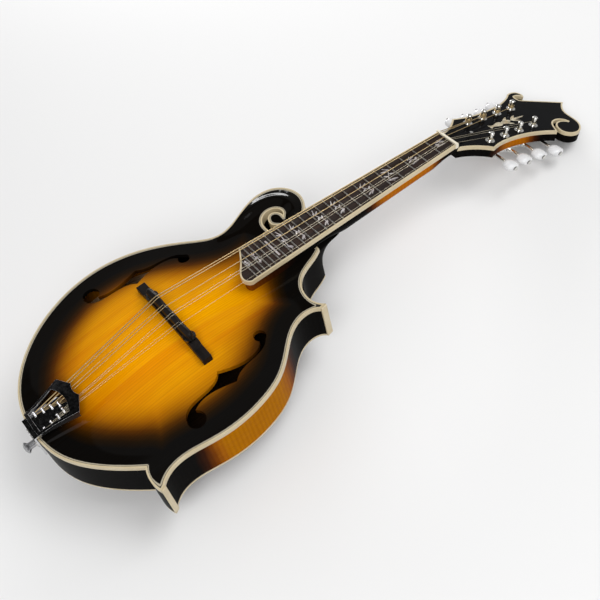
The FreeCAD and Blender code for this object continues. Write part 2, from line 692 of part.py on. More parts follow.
def make_strings():
    groups = {"wound_strings": [], "plain_strings": []}
    for k, radius, points in string_lines():
        side = -1 if k < 4 else 1
        order = [0, 1, 2, 3, 3, 2, 1, 0][k]
        wrap_r = POST_WAIST_R + FIT + radius
        turns = []
        for turn in range(WRAP_TURNS):
            w = WRAP_LOW + radius * (2 * turn + 1)
            u = ROW_START[side] + POST_STEP * order
            coil = Part.makeTorus(wrap_r, radius, Vector(side * ROW_X[side], u, w))
            turns.append(placed(coil, HEAD))
        run = string_solid(points, radius).fuse(turns[-1])
        groups["wound_strings" if k < 4 else "plain_strings"] += [run] + turns[:-1]
    for name, solids in groups.items():
        save(name, solids)
    slots = [string_solid(points[1:], radius + FIT) for _, radius, points in string_lines()]
    half = BOARD_W_NUT / 2 + 0.8
    profile = [(0, -BOARD_THICK), (NUT_THICK, -BOARD_THICK), (NUT_THICK, 0.3), (2.4, 1.7), (0, 2.0)]
    face = Part.Face(Part.makePolygon([Vector(-half, v, w) for v, w in profile + profile[:1]]))
    save("nut", placed(face.extrude(Vector(2 * half, 0, 0)), BOARD).cut(slots))


# ================= bridge =================
def make_bridge():
    y = BRIDGE_Y
    base_top = TOP_Z + BRIDGE_BASE_TOP
    end_top = base_top - 5.2
    side_view = [(-60, TOP_Z - 3), (60, TOP_Z - 3), (60, end_top), (45, end_top + 1.0), (41, base_top),
                 (-41, base_top), (-45, end_top + 1.0), (-60, end_top)]
    face = Part.Face(Part.makePolygon([Vector(x, y - 5, z) for x, z in side_view + side_view[:1]]))
    base = face.extrude(Vector(0, 10, 0))
    base = base.cut(arched_block(TOP_Z + 0.05, ARCH_TOP, 0.35, -60))
    wheel_low = base_top
    wheel_high = wheel_low + WHEEL_THICK
    saddle_low = wheel_high
    saddle_top = TOP_Z + SADDLE_RISE
    stud_low = base_top - 3.5
    stud_high = saddle_low + 4.0
    holes = [cylinder(STUD_R, (x, y, stud_low), (x, y, 60)) for x in STUD_X]
    save("bridge_base", base.cut(holes))
    save("bridge_studs", [cylinder(STUD_R, (x, y, stud_low), (x, y, stud_high)) for x in STUD_X])

    shoulder = saddle_top - 3.2
    profile = [(y - 3.8, saddle_low), (y + 3.8, saddle_low), (y + 3.8, shoulder), (y + 0.6, saddle_top),
               (y - 0.6, saddle_top), (y - 3.8, shoulder)]
    face = Part.Face(Part.makePolygon([Vector(-SADDLE_HALF, v, z) for v, z in profile + profile[:1]]))
    saddle = face.extrude(Vector(2 * SADDLE_HALF, 0, 0))
    deep = [cylinder(STUD_R + FIT, (x, y, saddle_low - 1), (x, y, stud_high + 0.3)) for x in STUD_X]
    save("bridge_saddle", saddle.cut(deep))

    for x, name in zip(STUD_X, ("bass", "treble")):
        rim = []
        for k in range(2 * WHEEL_NOTCHES):
            angle = math.pi * k / WHEEL_NOTCHES
            radius = WHEEL_R if k % 2 else WHEEL_R - 0.35
            rim.append((x + radius * math.cos(angle), y + radius * math.sin(angle)))
        wheel = prism(polygon(rim), wheel_low, wheel_high)
        save(f"bridge_wheel_{name}", wheel.cut(cylinder(STUD_R + FIT, (x, y, 0), (x, y, 60))))


# ================= tail end =================
def make_tailpiece():
    z = TOP_Z
    left = [(-15.5, 8), (-16.5, 20), (-19.5, 35), (-23.6, 50)]
    right = [(-x, y) for x, y in reversed(left)]
    edge = Part.Wire([spline(left), line((-23.6, 50), (-8.2, 58.6)),
                      arc((-8.2, 58.6), (0, 56.2), (8.2, 58.6)), line((8.2, 58.6), (23.6, 50)),
                      spline(right), line((15.5, 8), (-15.5, 8))])
    window = Part.Wire([line((-12.5, 11.5), (12.5, 11.5)),
                        spline([(12.5, 11.5), (13.6, 20), (16.4, 34), (18.4, 41)]),
                        arc((18.4, 41), (0, 46.5), (-18.4, 41)),
                        spline([(-18.4, 41), (-16.4, 34), (-13.6, 20), (-12.5, 11.5)])])
    slope = math.degrees(math.atan2(FRAME_FRONT_RISE - FRAME_REAR_RISE, 47))
    slab = box(-40, 40, -5, 80, -FRAME_THICK, 0)
    slab.rotate(Vector(0, 0, 0), Vector(1, 0, 0), slope)
    slab.translate(Vector(0, 8, z + FRAME_REAR_RISE))
    plate = prism(edge, z, z + 40).cut(prism(window, z, z + 40)).common(slab)
    skirt_line = [(8, z + 5.0), (49, z + 6.2), (49, z + FRAME_FRONT_RISE - 1), (8, z + FRAME_REAR_RISE - 1)]
    skirt_face = Part.Face(Part.makePolygon([Vector(-40, v, w) for v, w in skirt_line + skirt_line[:1]]))
    skirt = ring(edge, inset(edge, 1.7), z, z + 40).common(skirt_face.extrude(Vector(80, 0, 0)))
    skirt = skirt.common(box(-40, 40, 8, 49, z, z + 40))
    frame = plate.fuse(skirt)
    frame = frame.cut(string_room())
    save("tailpiece_frame", frame)

    plate_low, plate_high = z + 3.4, z + 4.9
    flat = box(-13, 13, 3.3, 47, plate_low, plate_high)
    strap = box(-13, 13, 3.3, 4.9, PIN_PLATE_LOW, plate_high)
    pin_hole = cylinder(PIN_SHANK_R, (0, -20, 0), (0, 40, 0))
    hooks = []
    for hook_x, hook_y in HOOKS:
        for side in (-1, 1):
            x = side * hook_x
            foot = (x, hook_y - 1.6, plate_high - 0.5)
            tip = (x, hook_y - 1.9, z + HOOK_RISE + 1.6)
            hooks += [cylinder(0.9, foot, tip), Part.makeSphere(1.25, Vector(*tip))]
    lugs = [box(-14.2, -12.5, 10, 30, plate_low, z + 5.6), box(12.5, 14.2, 10, 30, plate_low, z + 5.6)]
    bracket = flat.multiFuse([strap] + hooks + lugs).cut(pin_hole)
    screw_holes = [cylinder(1.4, (x, -5, w), (x, 12, w)) for x, w in TAIL_SCREWS]
    bracket = bracket.cut(screw_holes).cut(string_room()).cut(frame)
    save("tailpiece_bracket", bracket)

    profile = [(0, 9.5), (2.6, 9.5), (4.6, 8.6), (6.0, 7.4), (6.0, 6.4), (4.4, 5.0), (PIN_WAIST_R, 4.2),
               (PIN_WAIST_R, -1.6), (6.2, -2.4), (6.2, -3.3), (PIN_SHANK_R, -3.3), (PIN_SHANK_R, -25),
               (0, -25)]
    pin = turned(profile)
    pin.rotate(Vector(0, 0, 0), Vector(1, 0, 0), 90)
    save("end_pin", pin)


def string_room():
    """Clearance round the strings inside the tailpiece."""
    room = [cylinder(radius + 0.25, p[0] - (p[1] - p[0]) * 0.001, p[1]) for _, radius, p in string_lines()]
    return room[0].multiFuse(room[1:])


# ================= machine heads =================
def gear_solid():
    """Sixteen straight teeth with sloping flanks, centred on the post's axis."""
    root, tip = GEAR_PITCH_R - 0.75, GEAR_PITCH_R + 0.5
    points = []
    for k in range(GEAR_TEETH):
        middle = 2 * math.pi * (k + 0.5) / GEAR_TEETH + math.pi / 2
        for radius, half in ((root, 0.36), (tip, 0.19), (tip, -0.19), (root, -0.36)):
            angle = middle - half / radius
            points.append((radius * math.cos(angle), radius * math.sin(angle)))
    return prism(polygon(points), GEAR_W - GEAR_HALF, GEAR_W + GEAR_HALF)


def post_solid():
    """Post with its gear at the lower end, a waist for the string, a cross hole and a screwdriver slot."""
    low = GEAR_W - GEAR_END
    post = turned([(0, low), (2.2, low), (2.2, GEAR_W - GEAR_HALF), (POST_R, GEAR_W - GEAR_HALF),
                   (POST_R, 2.0), (POST_WAIST_R, 2.4), (POST_WAIST_R, 7.2), (POST_R, 7.8),
                   (POST_R, POST_RISE - 0.8), (POST_R - 0.8, POST_RISE), (0, POST_RISE)])
    eye = cylinder(0.7, (-5, 0, 6.4), (5, 0, 6.4))
    slot = box(-3, 3, -0.4, 0.4, low - 0.1, low + 0.7)
    return post.fuse(gear_solid()).cut([eye, slot])


def worm_solid():
    """Right-handed thread on a shaft along +X, centred on the origin."""
    core_r = WORM_R - 0.75
    tip_r = WORM_R + 0.3
    path = Part.makeHelix(WORM_PITCH, 7 * WORM_PITCH, core_r)
    half_root, half_tip = 0.40, 0.24
    foot_r = core_r - 0.25
    profile = [(foot_r, -half_root), (tip_r, -half_tip), (tip_r, half_tip), (foot_r, half_root)]
    outline = Part.makePolygon([Vector(x, 0, z) for x, z in profile + profile[:1]])
    thread = Part.Wire(path).makePipeShell([outline], True, True)
    thread.translate(Vector(0, 0, -3.75 * WORM_PITCH))    # a thread faces the gap between two gear teeth
    thread = thread.common(Part.makeCylinder(6, WORM_LONG, Vector(0, 0, -WORM_LONG / 2)))
    worm = thread.fuse(Part.makeCylinder(core_r, WORM_LONG, Vector(0, 0, -WORM_LONG / 2)))
    worm.rotate(Vector(0, 0, 0), Vector(0, 1, 0), 90)
    return worm


def button_solid(inner, outer):
    """Oval button along X between two distances: a round-edged slab, thinner at the shaft."""
    shapes = []
    for share, half_w, half_t in BUTTON_SECTIONS:
        ellipse = Part.Ellipse(Vector(0, 0, 0), half_w, half_t)
        wire = Part.Wire(ellipse.toShape())
        wire.transformShape(SECTION_TURN, True)
        wire.translate(Vector(inner + (outer - inner) * share, 0, 0))
        shapes.append(wire)
    return Part.makeLoft(shapes, True).cut(cylinder(BUTTON_BORE, (0, 0, 0), (90, 0, 0)))


# Turns a section's long axis to Y and its short axis to Z, across the shaft.
SECTION_TURN = Base.Matrix(0, 0, 1, 0, 1, 0, 0, 0, 0, 1, 0, 0, 0, 0, 0, 1)


def plate_screw_places(side):
    """Distances from the nut of the five screws of one plate: at both ends and between the posts."""
    first = ROW_START[side]
    between = [first + POST_STEP * k + 15.8 for k in range(3)]
    return [first - 5.0] + between + [first + POST_STEP * 3 + 13.5]


def tuner_plate(side):
    """Plate that carries one row of gears, with two ears and a window for each worm."""
    x, first = ROW_X[side], ROW_START[side]
    back = -HEAD_THICK - TUNER_PLATE
    last = first + POST_STEP * 3
    plate = box(x - PLATE_HALF, x + PLATE_HALF, first - PLATE_BEFORE, last + PLATE_AFTER, back, -HEAD_THICK)
    ears = []
    cuts = [cylinder(SCREW_R, (x, u, -30), (x, u, 0)) for u in plate_screw_places(side)]
    for k in range(4):
        u = first + POST_STEP * k
        worm_u = u + WORM_U
        for low in (x - PLATE_HALF, x + PLATE_HALF - EAR_THICK):
            ears.append(box(low, low + EAR_THICK, worm_u - EAR_HALF, worm_u + EAR_HALF,
                            GEAR_W - GEAR_END, back))
        cuts.append(cylinder(WORM_SHAFT_R + FIT, (0, worm_u, GEAR_W), (40, worm_u, GEAR_W)))
        cuts.append(cylinder(POST_R + FIT, (x, u, -30), (x, u, 0)))
        cuts.append(box(x - 5.0, x + 5.0, worm_u - 3.8, worm_u + 3.8, back, -HEAD_THICK))
    plate = plate.multiFuse(ears).cut(cuts)
    return placed(plate if side > 0 else mirrored(plate), HEAD)


def plate_screw(x, u):
    base = -HEAD_THICK - TUNER_PLATE
    shank = cylinder(SCREW_R, (x, u, base), (x, u, base + TUNER_PLATE))
    head = cylinder(2 * SCREW_R, (x, u, base - 0.9), (x, u, base))
    return placed(shank.fuse(head), HEAD)


def bushing(x, u):
    flange = cylinder(5.2, (x, u, 0), (x, u, 0.9))
    tube = cylinder(BUSHING_R, (x, u, -BUSHING_DEEP), (x, u, 0))
    bore = cylinder(POST_R + FIT, (x, u, -BUSHING_DEEP - 1), (x, u, 2))
    return placed(flange.fuse(tube).cut(bore), HEAD)


def worm_shaft(worm, post_x, inner, outer):
    """Worm on its shaft along +X, from the inner ear through the button to the button's end screw."""
    half = WORM_LONG / 2
    runs = [(WORM_SHAFT_R, post_x - PLATE_HALF - 0.6, post_x - half), (WORM_SHAFT_R, post_x + half, inner),
            (BUTTON_BORE, inner - 1, outer), (2.3, outer, outer + 0.9)]
    middle = worm.copy()
    middle.translate(Vector(post_x, 0, 0))
    return middle, [cylinder(radius, (a, 0, 0), (b, 0, 0)) for radius, a, b in runs]


def make_tuners():
    post = post_solid()
    worm = worm_solid()
    for number, side, x, u, button_x in tuner_places():
        standing = post.copy()
        standing.translate(Vector(x, u, 0))
        save(f"tuner_post_{number}", placed(standing, HEAD))

        inner, outer = button_x - BUTTON_LONG / 2, button_x + BUTTON_LONG / 2
        middle, runs = worm_shaft(worm, abs(x), inner, outer)
        button = button_solid(inner, outer)
        if side < 0:
            middle.translate(Vector(2 * x, 0, 0))          # the thread keeps its hand, the rest is mirrored
            runs = [mirrored(run) for run in runs]
            button = mirrored(button)
        shaft = middle.multiFuse(runs)
        for shape in (button, shaft):
            shape.translate(Vector(0, u + WORM_U, GEAR_W))
        save(f"tuner_button_{number}", placed(button, HEAD))
        save(f"tuner_worm_{number}", placed(shaft, HEAD))
    save("tuner_plates", [tuner_plate(side) for side in (-1, 1)])
    save("tuner_bushings", [bushing(x, u) for _, _, x, u, _ in tuner_places()])


def make_screws():
    plates = [plate_screw(side * ROW_X[side], u) for side in (-1, 1) for u in plate_screw_places(side)]
    cover_shank = cylinder(SCREW_R, (0, 34, -1.5), (0, 34, 1.5))
    cover_head = cylinder(1.9, (0, 34, 1.5), (0, 34, 2.4))
    tail = []
    for x, w in TAIL_SCREWS:
        tail.append(cylinder(1.4, (x, 3.3, w), (x, 5.0, w)).fuse(cylinder(2.6, (x, 1.9, w), (x, 3.3, w))))
    save("screws", plates + [placed(cover_shank.fuse(cover_head), HEAD)] + tail)


make_body()
make_neck()
make_board()
make_strings()
make_bridge()
make_tailpiece()
make_tuners()
make_screws()
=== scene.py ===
import bpy
import bmesh
import math
import numpy as np
from mathutils import Matrix, Vector
from mathutils.geometry import delaunay_2d_cdt
from mathutils.kdtree import KDTree


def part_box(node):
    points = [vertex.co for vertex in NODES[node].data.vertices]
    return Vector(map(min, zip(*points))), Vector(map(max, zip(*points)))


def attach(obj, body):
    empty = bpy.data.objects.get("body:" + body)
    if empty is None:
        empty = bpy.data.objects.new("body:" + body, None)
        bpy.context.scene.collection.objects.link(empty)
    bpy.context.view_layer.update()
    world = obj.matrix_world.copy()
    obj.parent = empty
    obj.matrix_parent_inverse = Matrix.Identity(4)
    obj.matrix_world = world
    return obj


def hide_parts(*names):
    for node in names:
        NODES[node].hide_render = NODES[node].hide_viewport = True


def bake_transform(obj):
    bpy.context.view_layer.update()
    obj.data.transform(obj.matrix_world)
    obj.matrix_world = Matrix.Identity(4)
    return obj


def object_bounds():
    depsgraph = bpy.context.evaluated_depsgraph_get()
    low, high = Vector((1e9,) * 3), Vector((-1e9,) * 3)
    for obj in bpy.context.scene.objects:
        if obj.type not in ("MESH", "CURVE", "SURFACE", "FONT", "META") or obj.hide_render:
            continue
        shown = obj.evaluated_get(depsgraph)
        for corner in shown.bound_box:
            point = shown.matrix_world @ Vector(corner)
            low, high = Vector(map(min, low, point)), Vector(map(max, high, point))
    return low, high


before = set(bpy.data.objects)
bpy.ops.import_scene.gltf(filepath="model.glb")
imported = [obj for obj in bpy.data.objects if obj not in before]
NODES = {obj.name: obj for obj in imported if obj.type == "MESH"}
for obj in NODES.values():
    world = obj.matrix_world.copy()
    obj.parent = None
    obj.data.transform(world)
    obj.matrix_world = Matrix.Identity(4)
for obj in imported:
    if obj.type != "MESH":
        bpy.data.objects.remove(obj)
bpy.context.view_layer.update()
cad_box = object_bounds()
MM = 0.001
MACHINES = range(1, 9)    # the numbers of the machine heads
SIDES = (-1, 1)           # bass and treble


# ---------------------------------------------------------------- materials
class Mat:
    """A node material built with short calls. Patterns lie in object space, in metres."""

    def __init__(self, name, rough, metal=0.0, coat=0.0, coat_rough=0.03):
        self.mat = bpy.data.materials.new(name)
        self.mat.use_nodes = True
        self.nodes = self.mat.node_tree.nodes
        self.links = self.mat.node_tree.links
        self.shader = self.nodes["Principled BSDF"]
        self.set("Roughness", rough)
        self.set("Metallic", metal)
        self.set("Coat Weight", coat)
        self.set("Coat Roughness", coat_rough)
        self.set("Coat IOR", 1.25)

    def set(self, key, value):
        self.plug(value, self.shader.inputs[key])

    def plug(self, value, socket):
        if isinstance(value, bpy.types.NodeSocket):
            self.links.new(value, socket)
        elif isinstance(value, tuple) and len(value) == 3 and socket.type == "RGBA":
            socket.default_value = (*value, 1)
        else:
            socket.default_value = value

    def place(self, scale):
        """Object coordinates, scaled."""
        at = self.nodes.new("ShaderNodeTexCoord").outputs["Object"]
        mapping = self.nodes.new("ShaderNodeMapping")
        self.links.new(at, mapping.inputs["Vector"])
        mapping.inputs["Scale"].default_value = scale
        return mapping.outputs[0]

    def noise(self, scale, detail=3.0, rough=0.5, distort=0.0):
        """Noise with about so many spots per metre along each axis."""
        noise = self.nodes.new("ShaderNodeTexNoise")
        self.links.new(self.place(scale), noise.inputs["Vector"])
        noise.inputs["Scale"].default_value = 1.0
        noise.inputs["Detail"].default_value = detail
        noise.inputs["Roughness"].default_value = rough
        noise.inputs["Distortion"].default_value = distort
        return noise.outputs["Fac"]

    def wave(self, scale, size, distort=0.0, detail=2.0, axis="X"):
        wave = self.nodes.new("ShaderNodeTexWave")
        wave.bands_direction = axis
        self.links.new(self.place(scale), wave.inputs["Vector"])
        wave.inputs["Scale"].default_value = size
        wave.inputs["Distortion"].default_value = distort
        wave.inputs["Detail"].default_value = detail
        return wave.outputs["Fac"]

    def ramp(self, fac, stops):
        """Colours along a value. The stops are (value, colour), in rising order."""
        ramp = self.nodes.new("ShaderNodeValToRGB")
        elements = ramp.color_ramp.elements
        while len(elements) < len(stops):
            elements.new(0.5)
        for element, (position, colour) in zip(elements, stops):
            element.position = position
            element.color = (*colour, 1)
        self.plug(fac, ramp.inputs[0])
        return ramp.outputs[0]

    def mix(self, fac, first, second, mode="MIX"):
        mix = self.nodes.new("ShaderNodeMix")
        mix.data_type = "RGBA"
        mix.blend_type = mode
        self.plug(fac, mix.inputs[0])
        self.plug(first, mix.inputs[6])
        self.plug(second, mix.inputs[7])
        return mix.outputs[2]

    def tint(self, base, fac, colour):
        """The base multiplied by a colour, by as much as fac says."""
        return self.mix(fac, base, self.mix(1.0, base, colour, "MULTIPLY"))

    def wander(self, size, amount):
        """A slow noise round zero, amount high to low."""
        centred = self.math("SUBTRACT", self.noise((size, size, size), detail=2), 0.5)
        return self.math("MULTIPLY", centred, amount)

    def math(self, op, first, second, clamp=False):
        math_node = self.nodes.new("ShaderNodeMath")
        math_node.operation = op
        math_node.use_clamp = clamp
        self.plug(first, math_node.inputs[0])
        self.plug(second, math_node.inputs[1])
        return math_node.outputs[0]

    def span(self, value, low, high, out_low=0.0, out_high=1.0):
        """Eases from out_low to out_high as the value goes from low to high."""
        span = self.nodes.new("ShaderNodeMapRange")
        span.interpolation_type = "SMOOTHSTEP"
        self.plug(value, span.inputs[0])
        for place, limit in enumerate((low, high, out_low, out_high), start=1):
            span.inputs[place].default_value = limit
        return span.outputs[0]

    def distance(self, point, scale):
        """Distance from a point in metres, in scaled object space."""
        distance = self.nodes.new("ShaderNodeVectorMath")
        distance.operation = "DISTANCE"
        self.links.new(self.place(scale), distance.inputs[0])
        distance.inputs[1].default_value = [p * s for p, s in zip(point, scale)]
        return distance.outputs["Value"]

    def attribute(self, name):
        attribute = self.nodes.new("ShaderNodeAttribute")
        attribute.attribute_name = name
        return attribute.outputs["Fac"]

    def bump(self, height, strength, distance):
        """Bump with its height in metres."""
        bump = self.nodes.new("ShaderNodeBump")
        bump.inputs["Strength"].default_value = strength
        bump.inputs["Distance"].default_value = distance
        self.plug(height, bump.inputs["Height"])
        self.set("Normal", bump.outputs[0])


# Colours along the sunbursts, from black to amber.
BLACK = (0.0035, 0.0032, 0.0030)
TOP_BURST = [(0.0, BLACK), (0.17, BLACK), (0.24, (0.011, 0.0055, 0.0015)), (0.29, (0.030, 0.011, 0.001)),
             (0.34, (0.075, 0.024, 0.0005)), (0.39, (0.18, 0.062, 0.0005)), (0.44, (0.31, 0.112, 0.0005)),
             (0.50, (0.45, 0.176, 0.0005)), (0.60, (0.63, 0.262, 0.0005)), (1.0, (0.86, 0.395, 0.0005))]
BACK_BURST = [(0.0, BLACK), (0.19, BLACK), (0.30, (0.018, 0.005, 0.002)), (0.42, (0.08, 0.016, 0.002)),
              (0.56, (0.24, 0.055, 0.003)), (0.75, (0.42, 0.13, 0.006)), (1.0, (0.55, 0.20, 0.010))]
SIDE_BURST = [(0.0, BLACK), (0.10, BLACK), (0.35, (0.035, 0.009, 0.002)), (0.60, (0.16, 0.040, 0.002)),
              (0.82, (0.33, 0.10, 0.003))]

# Tints, by which a wood's colour is multiplied.
RING_TINT, FINE_RING_TINT = (0.80, 0.62, 0.45), (0.80, 0.66, 0.5)
STREAK_TINT, CLOUD_TINT = (0.86, 0.63, 0.4), (0.90, 0.72, 0.5)
# Painted sheen: the spruce's fibres are lightened as if they shone.
PAINTED_FIBRE_SHEEN = (1.20, 1.24, 1.2)
BACK_FLAME_TINT, BACK_GRAIN_TINT = (0.55, 0.38, 0.22), (0.6, 0.5, 0.4)
SIDE_FLAME_TINT, SIDE_GRAIN_TINT = (0.66, 0.50, 0.35), (0.72, 0.62, 0.5)
ROSEWOOD_TINT = (0.45, 0.40, 0.40)


def spruce():
    m = Mat("spruce_sunburst", rough=0.5, coat=0.6, coat_rough=0.05)
    m.set("Coat IOR", 1.2)
    m.set("Specular IOR Level", 0.0)
    base = m.ramp(m.math("ADD", m.attribute("edge"), m.wander(22, 0.05)), TOP_BURST)
    rings = m.wave((1, 0.016, 0.3), 120, distort=5.0, detail=4)
    fine = m.wave((1, 0.018, 0.3), 290, distort=4.5, detail=3)
    streaks = m.noise((70, 2.4, 20), detail=4, rough=0.6)
    clouds = m.noise((16, 9, 16))
    # painted sheen: lighter streaks along the fibres
    sheen_fibres = m.noise((900, 9, 200), detail=4)
    wood = m.tint(base, m.span(rings, 0.4, 1.0, 0.0, 0.42), RING_TINT)
    wood = m.tint(wood, m.span(fine, 0.4, 1.0, 0.0, 0.22), FINE_RING_TINT)
    wood = m.tint(wood, m.span(streaks, 0.48, 0.72, 0.0, 0.60), STREAK_TINT)
    wood = m.tint(wood, m.span(clouds, 0.42, 0.66, 0.0, 0.55), CLOUD_TINT)
    wood = m.tint(wood, m.span(sheen_fibres, 0.42, 0.66, 0.0, 0.40), PAINTED_FIBRE_SHEEN)
    m.set("Base Color", wood)
    m.bump(rings, 0.05, 0.00005)
    return m.mat


def maple_back():
    m = Mat("maple_sunburst_back", rough=0.4, coat=0.9, coat_rough=0.05)
    m.set("Specular IOR Level", 0.08)
    flame = m.wave((0.35, 1, 0.3), 62, distort=3.2, detail=3, axis="Y")
    grain = m.noise((260, 10, 60))
    base = m.ramp(m.attribute("edge"), BACK_BURST)
    flamed = m.tint(base, m.span(flame, 0.2, 0.85, 0.0, 0.55), BACK_FLAME_TINT)
    flamed = m.tint(flamed, m.span(grain, 0.4, 0.7, 0.0, 0.25), BACK_GRAIN_TINT)
    m.set("Base Color", flamed)
    return m.mat


def maple_stained(name, dark_spots, light_scale, amber, flame_size=70):
    """Flamed maple whose stain darkens round the given places: (point, inner, outer) in metres."""
    m = Mat(name, rough=0.5, coat=0.3, coat_rough=0.1)
    m.set("Coat IOR", 1.13)
    m.set("Specular IOR Level", 0.0)
    fac = None
    for point, inner, outer in dark_spots:
        spot = m.span(m.distance(point, light_scale), inner, outer)
        fac = spot if fac is None else m.math("MULTIPLY", fac, spot)
    fac = m.math("ADD", fac, m.wander(40, 0.16), clamp=True)
    base = m.ramp(fac, SIDE_BURST + [(1.0, amber)])
    flame = m.wave((1, 1, 0.12), flame_size, distort=3.0, detail=3, axis="Y")
    grain = m.noise((420, 14, 420))
    base = m.tint(base, m.span(flame, 0.25, 0.9, 0.0, 0.30), SIDE_FLAME_TINT)
    base = m.tint(base, m.span(grain, 0.4, 0.7, 0.0, 0.3), SIDE_GRAIN_TINT)
    m.set("Base Color", base)
    return m.mat


def bare_wood(name, dark, light):
    m = Mat(name, rough=0.6)
    m.set("Specular IOR Level", 0.1)
    grain = m.noise((300, 8, 300), detail=4)
    m.set("Base Color", m.ramp(grain, [(0.3, dark), (0.7, light)]))
    m.bump(grain, 0.3, 0.0001)
    return m.mat


def cream():
    m = Mat("cream_celluloid", rough=0.34, coat=0.4, coat_rough=0.08)
    light = (0.58, 0.49, 0.325)
    dark = tuple(channel * share for channel, share in zip(light, (0.86, 0.82, 0.72)))
    soft = m.noise((60, 60, 60))
    grain = m.noise((500, 40, 500))
    base = m.mix(m.span(soft, 0.3, 0.7, 0.0, 0.6), light, dark)
    m.set("Base Color", m.mix(m.span(grain, 0.4, 0.7, 0.0, 0.25), base, dark))
    m.set("Subsurface Weight", 0.04)
    m.set("Subsurface Radius", (0.002, 0.0015, 0.001))
    return m.mat


def purfling():
    """A pale line between two black ones."""
    m = Mat("purfling_lines", rough=0.36, coat=0.8, coat_rough=0.06)
    black, dark = (0.010, 0.009, 0.008), (0.012, 0.010, 0.009)
    lines = [(0.0, black), (0.20, dark), (0.30, (0.40, 0.35, 0.25)), (0.74, (0.42, 0.37, 0.27)),
             (0.84, dark), (1.0, black)]
    m.set("Base Color", m.ramp(m.attribute("across"), lines))
    return m.mat


def lacquer():
    m = Mat("black_lacquer", rough=0.5, coat=0.55, coat_rough=0.04)
    m.set("Specular IOR Level", 0.0)
    m.set("Coat IOR", 1.18)
    haze = m.noise((90, 90, 90), detail=4)
    m.set("Base Color", m.ramp(haze, [(0.2, (0.0030, 0.0030, 0.0034)), (0.8, (0.0048, 0.0048, 0.0054))]))
    return m.mat


def rosewood():
    m = Mat("rosewood", rough=0.46)
    m.set("Specular IOR Level", 0.2)
    streak = m.noise((420, 11, 420), detail=5, rough=0.6, distort=0.3)
    broad = m.noise((70, 3, 70))
    pores = m.noise((2200, 60, 2200), detail=2)
    browns = [(0.25, (0.006, 0.0035, 0.003)), (0.5, (0.020, 0.010, 0.007)), (0.8, (0.058, 0.028, 0.017))]
    base = m.tint(m.ramp(streak, browns), m.span(broad, 0.35, 0.65, 0.0, 0.6), ROSEWOOD_TINT)
    base = m.mix(m.span(pores, 0.58, 0.7, 0.0, 0.6), base, (0.006, 0.004, 0.003))
    m.set("Base Color", base)
    m.set("Roughness", m.span(streak, 0.2, 0.8, 0.5, 0.34))
    m.bump(pores, 0.25, 0.00012)
    return m.mat


def ebony():
    m = Mat("ebony", rough=0.34, coat=0.10, coat_rough=0.2)
    m.set("Specular IOR Level", 0.05)
    streak = m.noise((12, 500, 500), detail=5)
    m.set("Base Color", m.ramp(streak, [(0.3, (0.006, 0.0052, 0.005)), (0.75, (0.017, 0.0135, 0.012))]))
    m.set("Roughness", m.span(streak, 0.2, 0.8, 0.38, 0.28))
    m.bump(streak, 0.12, 0.0001)
    return m.mat


def bone():
    m = Mat("bone", rough=0.32, coat=0.3, coat_rough=0.1)
    grain = m.noise((90, 500, 300))
    m.set("Base Color", m.ramp(grain, [(0.3, (0.74, 0.67, 0.52)), (0.8, (0.84, 0.79, 0.66))]))
    m.set("Subsurface Weight", 0.06)
    m.set("Subsurface Radius", (0.002, 0.0015, 0.001))
    return m.mat


def pearl(name, dark, mid, light, warm):
    """Shell inlay: clouded between three greys, with a warm and a cool tint in places."""
    m = Mat(name, rough=0.3, coat=0.35, coat_rough=0.08)
    cloud = m.noise((210, 120, 210), detail=4, rough=0.6, distort=1.2)
    shift = m.noise((130, 170, 130), distort=0.8)
    base = m.ramp(cloud, [(0.25, dark), (0.45, mid), (0.62, light), (0.8, mid)])
    base = m.tint(base, m.span(shift, 0.45, 0.75, 0.0, 0.5), (0.92, 1.0, 1.10))
    base = m.tint(base, m.span(shift, 0.2, 0.5, 0.6, 0.0), warm)
    m.set("Base Color", base)
    return m.mat


def pearloid():
    m = Mat("pearloid", rough=0.20, coat=0.8, coat_rough=0.04)
    cloud = m.noise((260, 260, 260), detail=4, rough=0.6, distort=1.5)
    greys = [(0.25, (0.60, 0.61, 0.63)), (0.5, (0.72, 0.72, 0.73)), (0.75, (0.82, 0.82, 0.82))]
    m.set("Base Color", m.ramp(cloud, greys))
    m.set("Subsurface Weight", 0.10)
    m.set("Subsurface Radius", (0.003, 0.003, 0.003))
    return m.mat


def metal(name, colour, rough, depth=0.03):
    """Metal that is duller in broad places, with fine uneven polish."""
    m = Mat(name, rough=rough, metal=1.0)
    fine = m.noise((300, 300, 300), detail=4)
    broad = m.noise((70, 70, 70))
    dull = tuple(channel * 0.86 for channel in colour)
    m.set("Base Color", m.mix(m.span(broad, 0.3, 0.7), colour, dull))
    m.set("Roughness", m.span(fine, 0.25, 0.75, rough * 0.7, rough * 1.5))
    m.bump(fine, depth, 0.0001)
    return m.mat


def wound(name, colour):
    """Wound string: darker between its turns, as painted shade."""
    m = Mat(name, rough=0.34, metal=1.0)
    turns = m.wave((0.05, 1, 0.05), 900, axis="Y")
    wear = m.noise((20, 160, 20), detail=2)
    worn = tuple(channel * 0.8 for channel in colour)
    # painted shade in the grooves between the turns
    groove_shade = tuple(channel * 0.45 for channel in colour)
    m.set("Base Color", m.mix(m.span(turns, 0.0, 0.6, 0.5, 0.0), m.mix(wear, colour, worn), groove_shade))
    m.bump(turns, 0.08, 0.00005)
    return m.mat


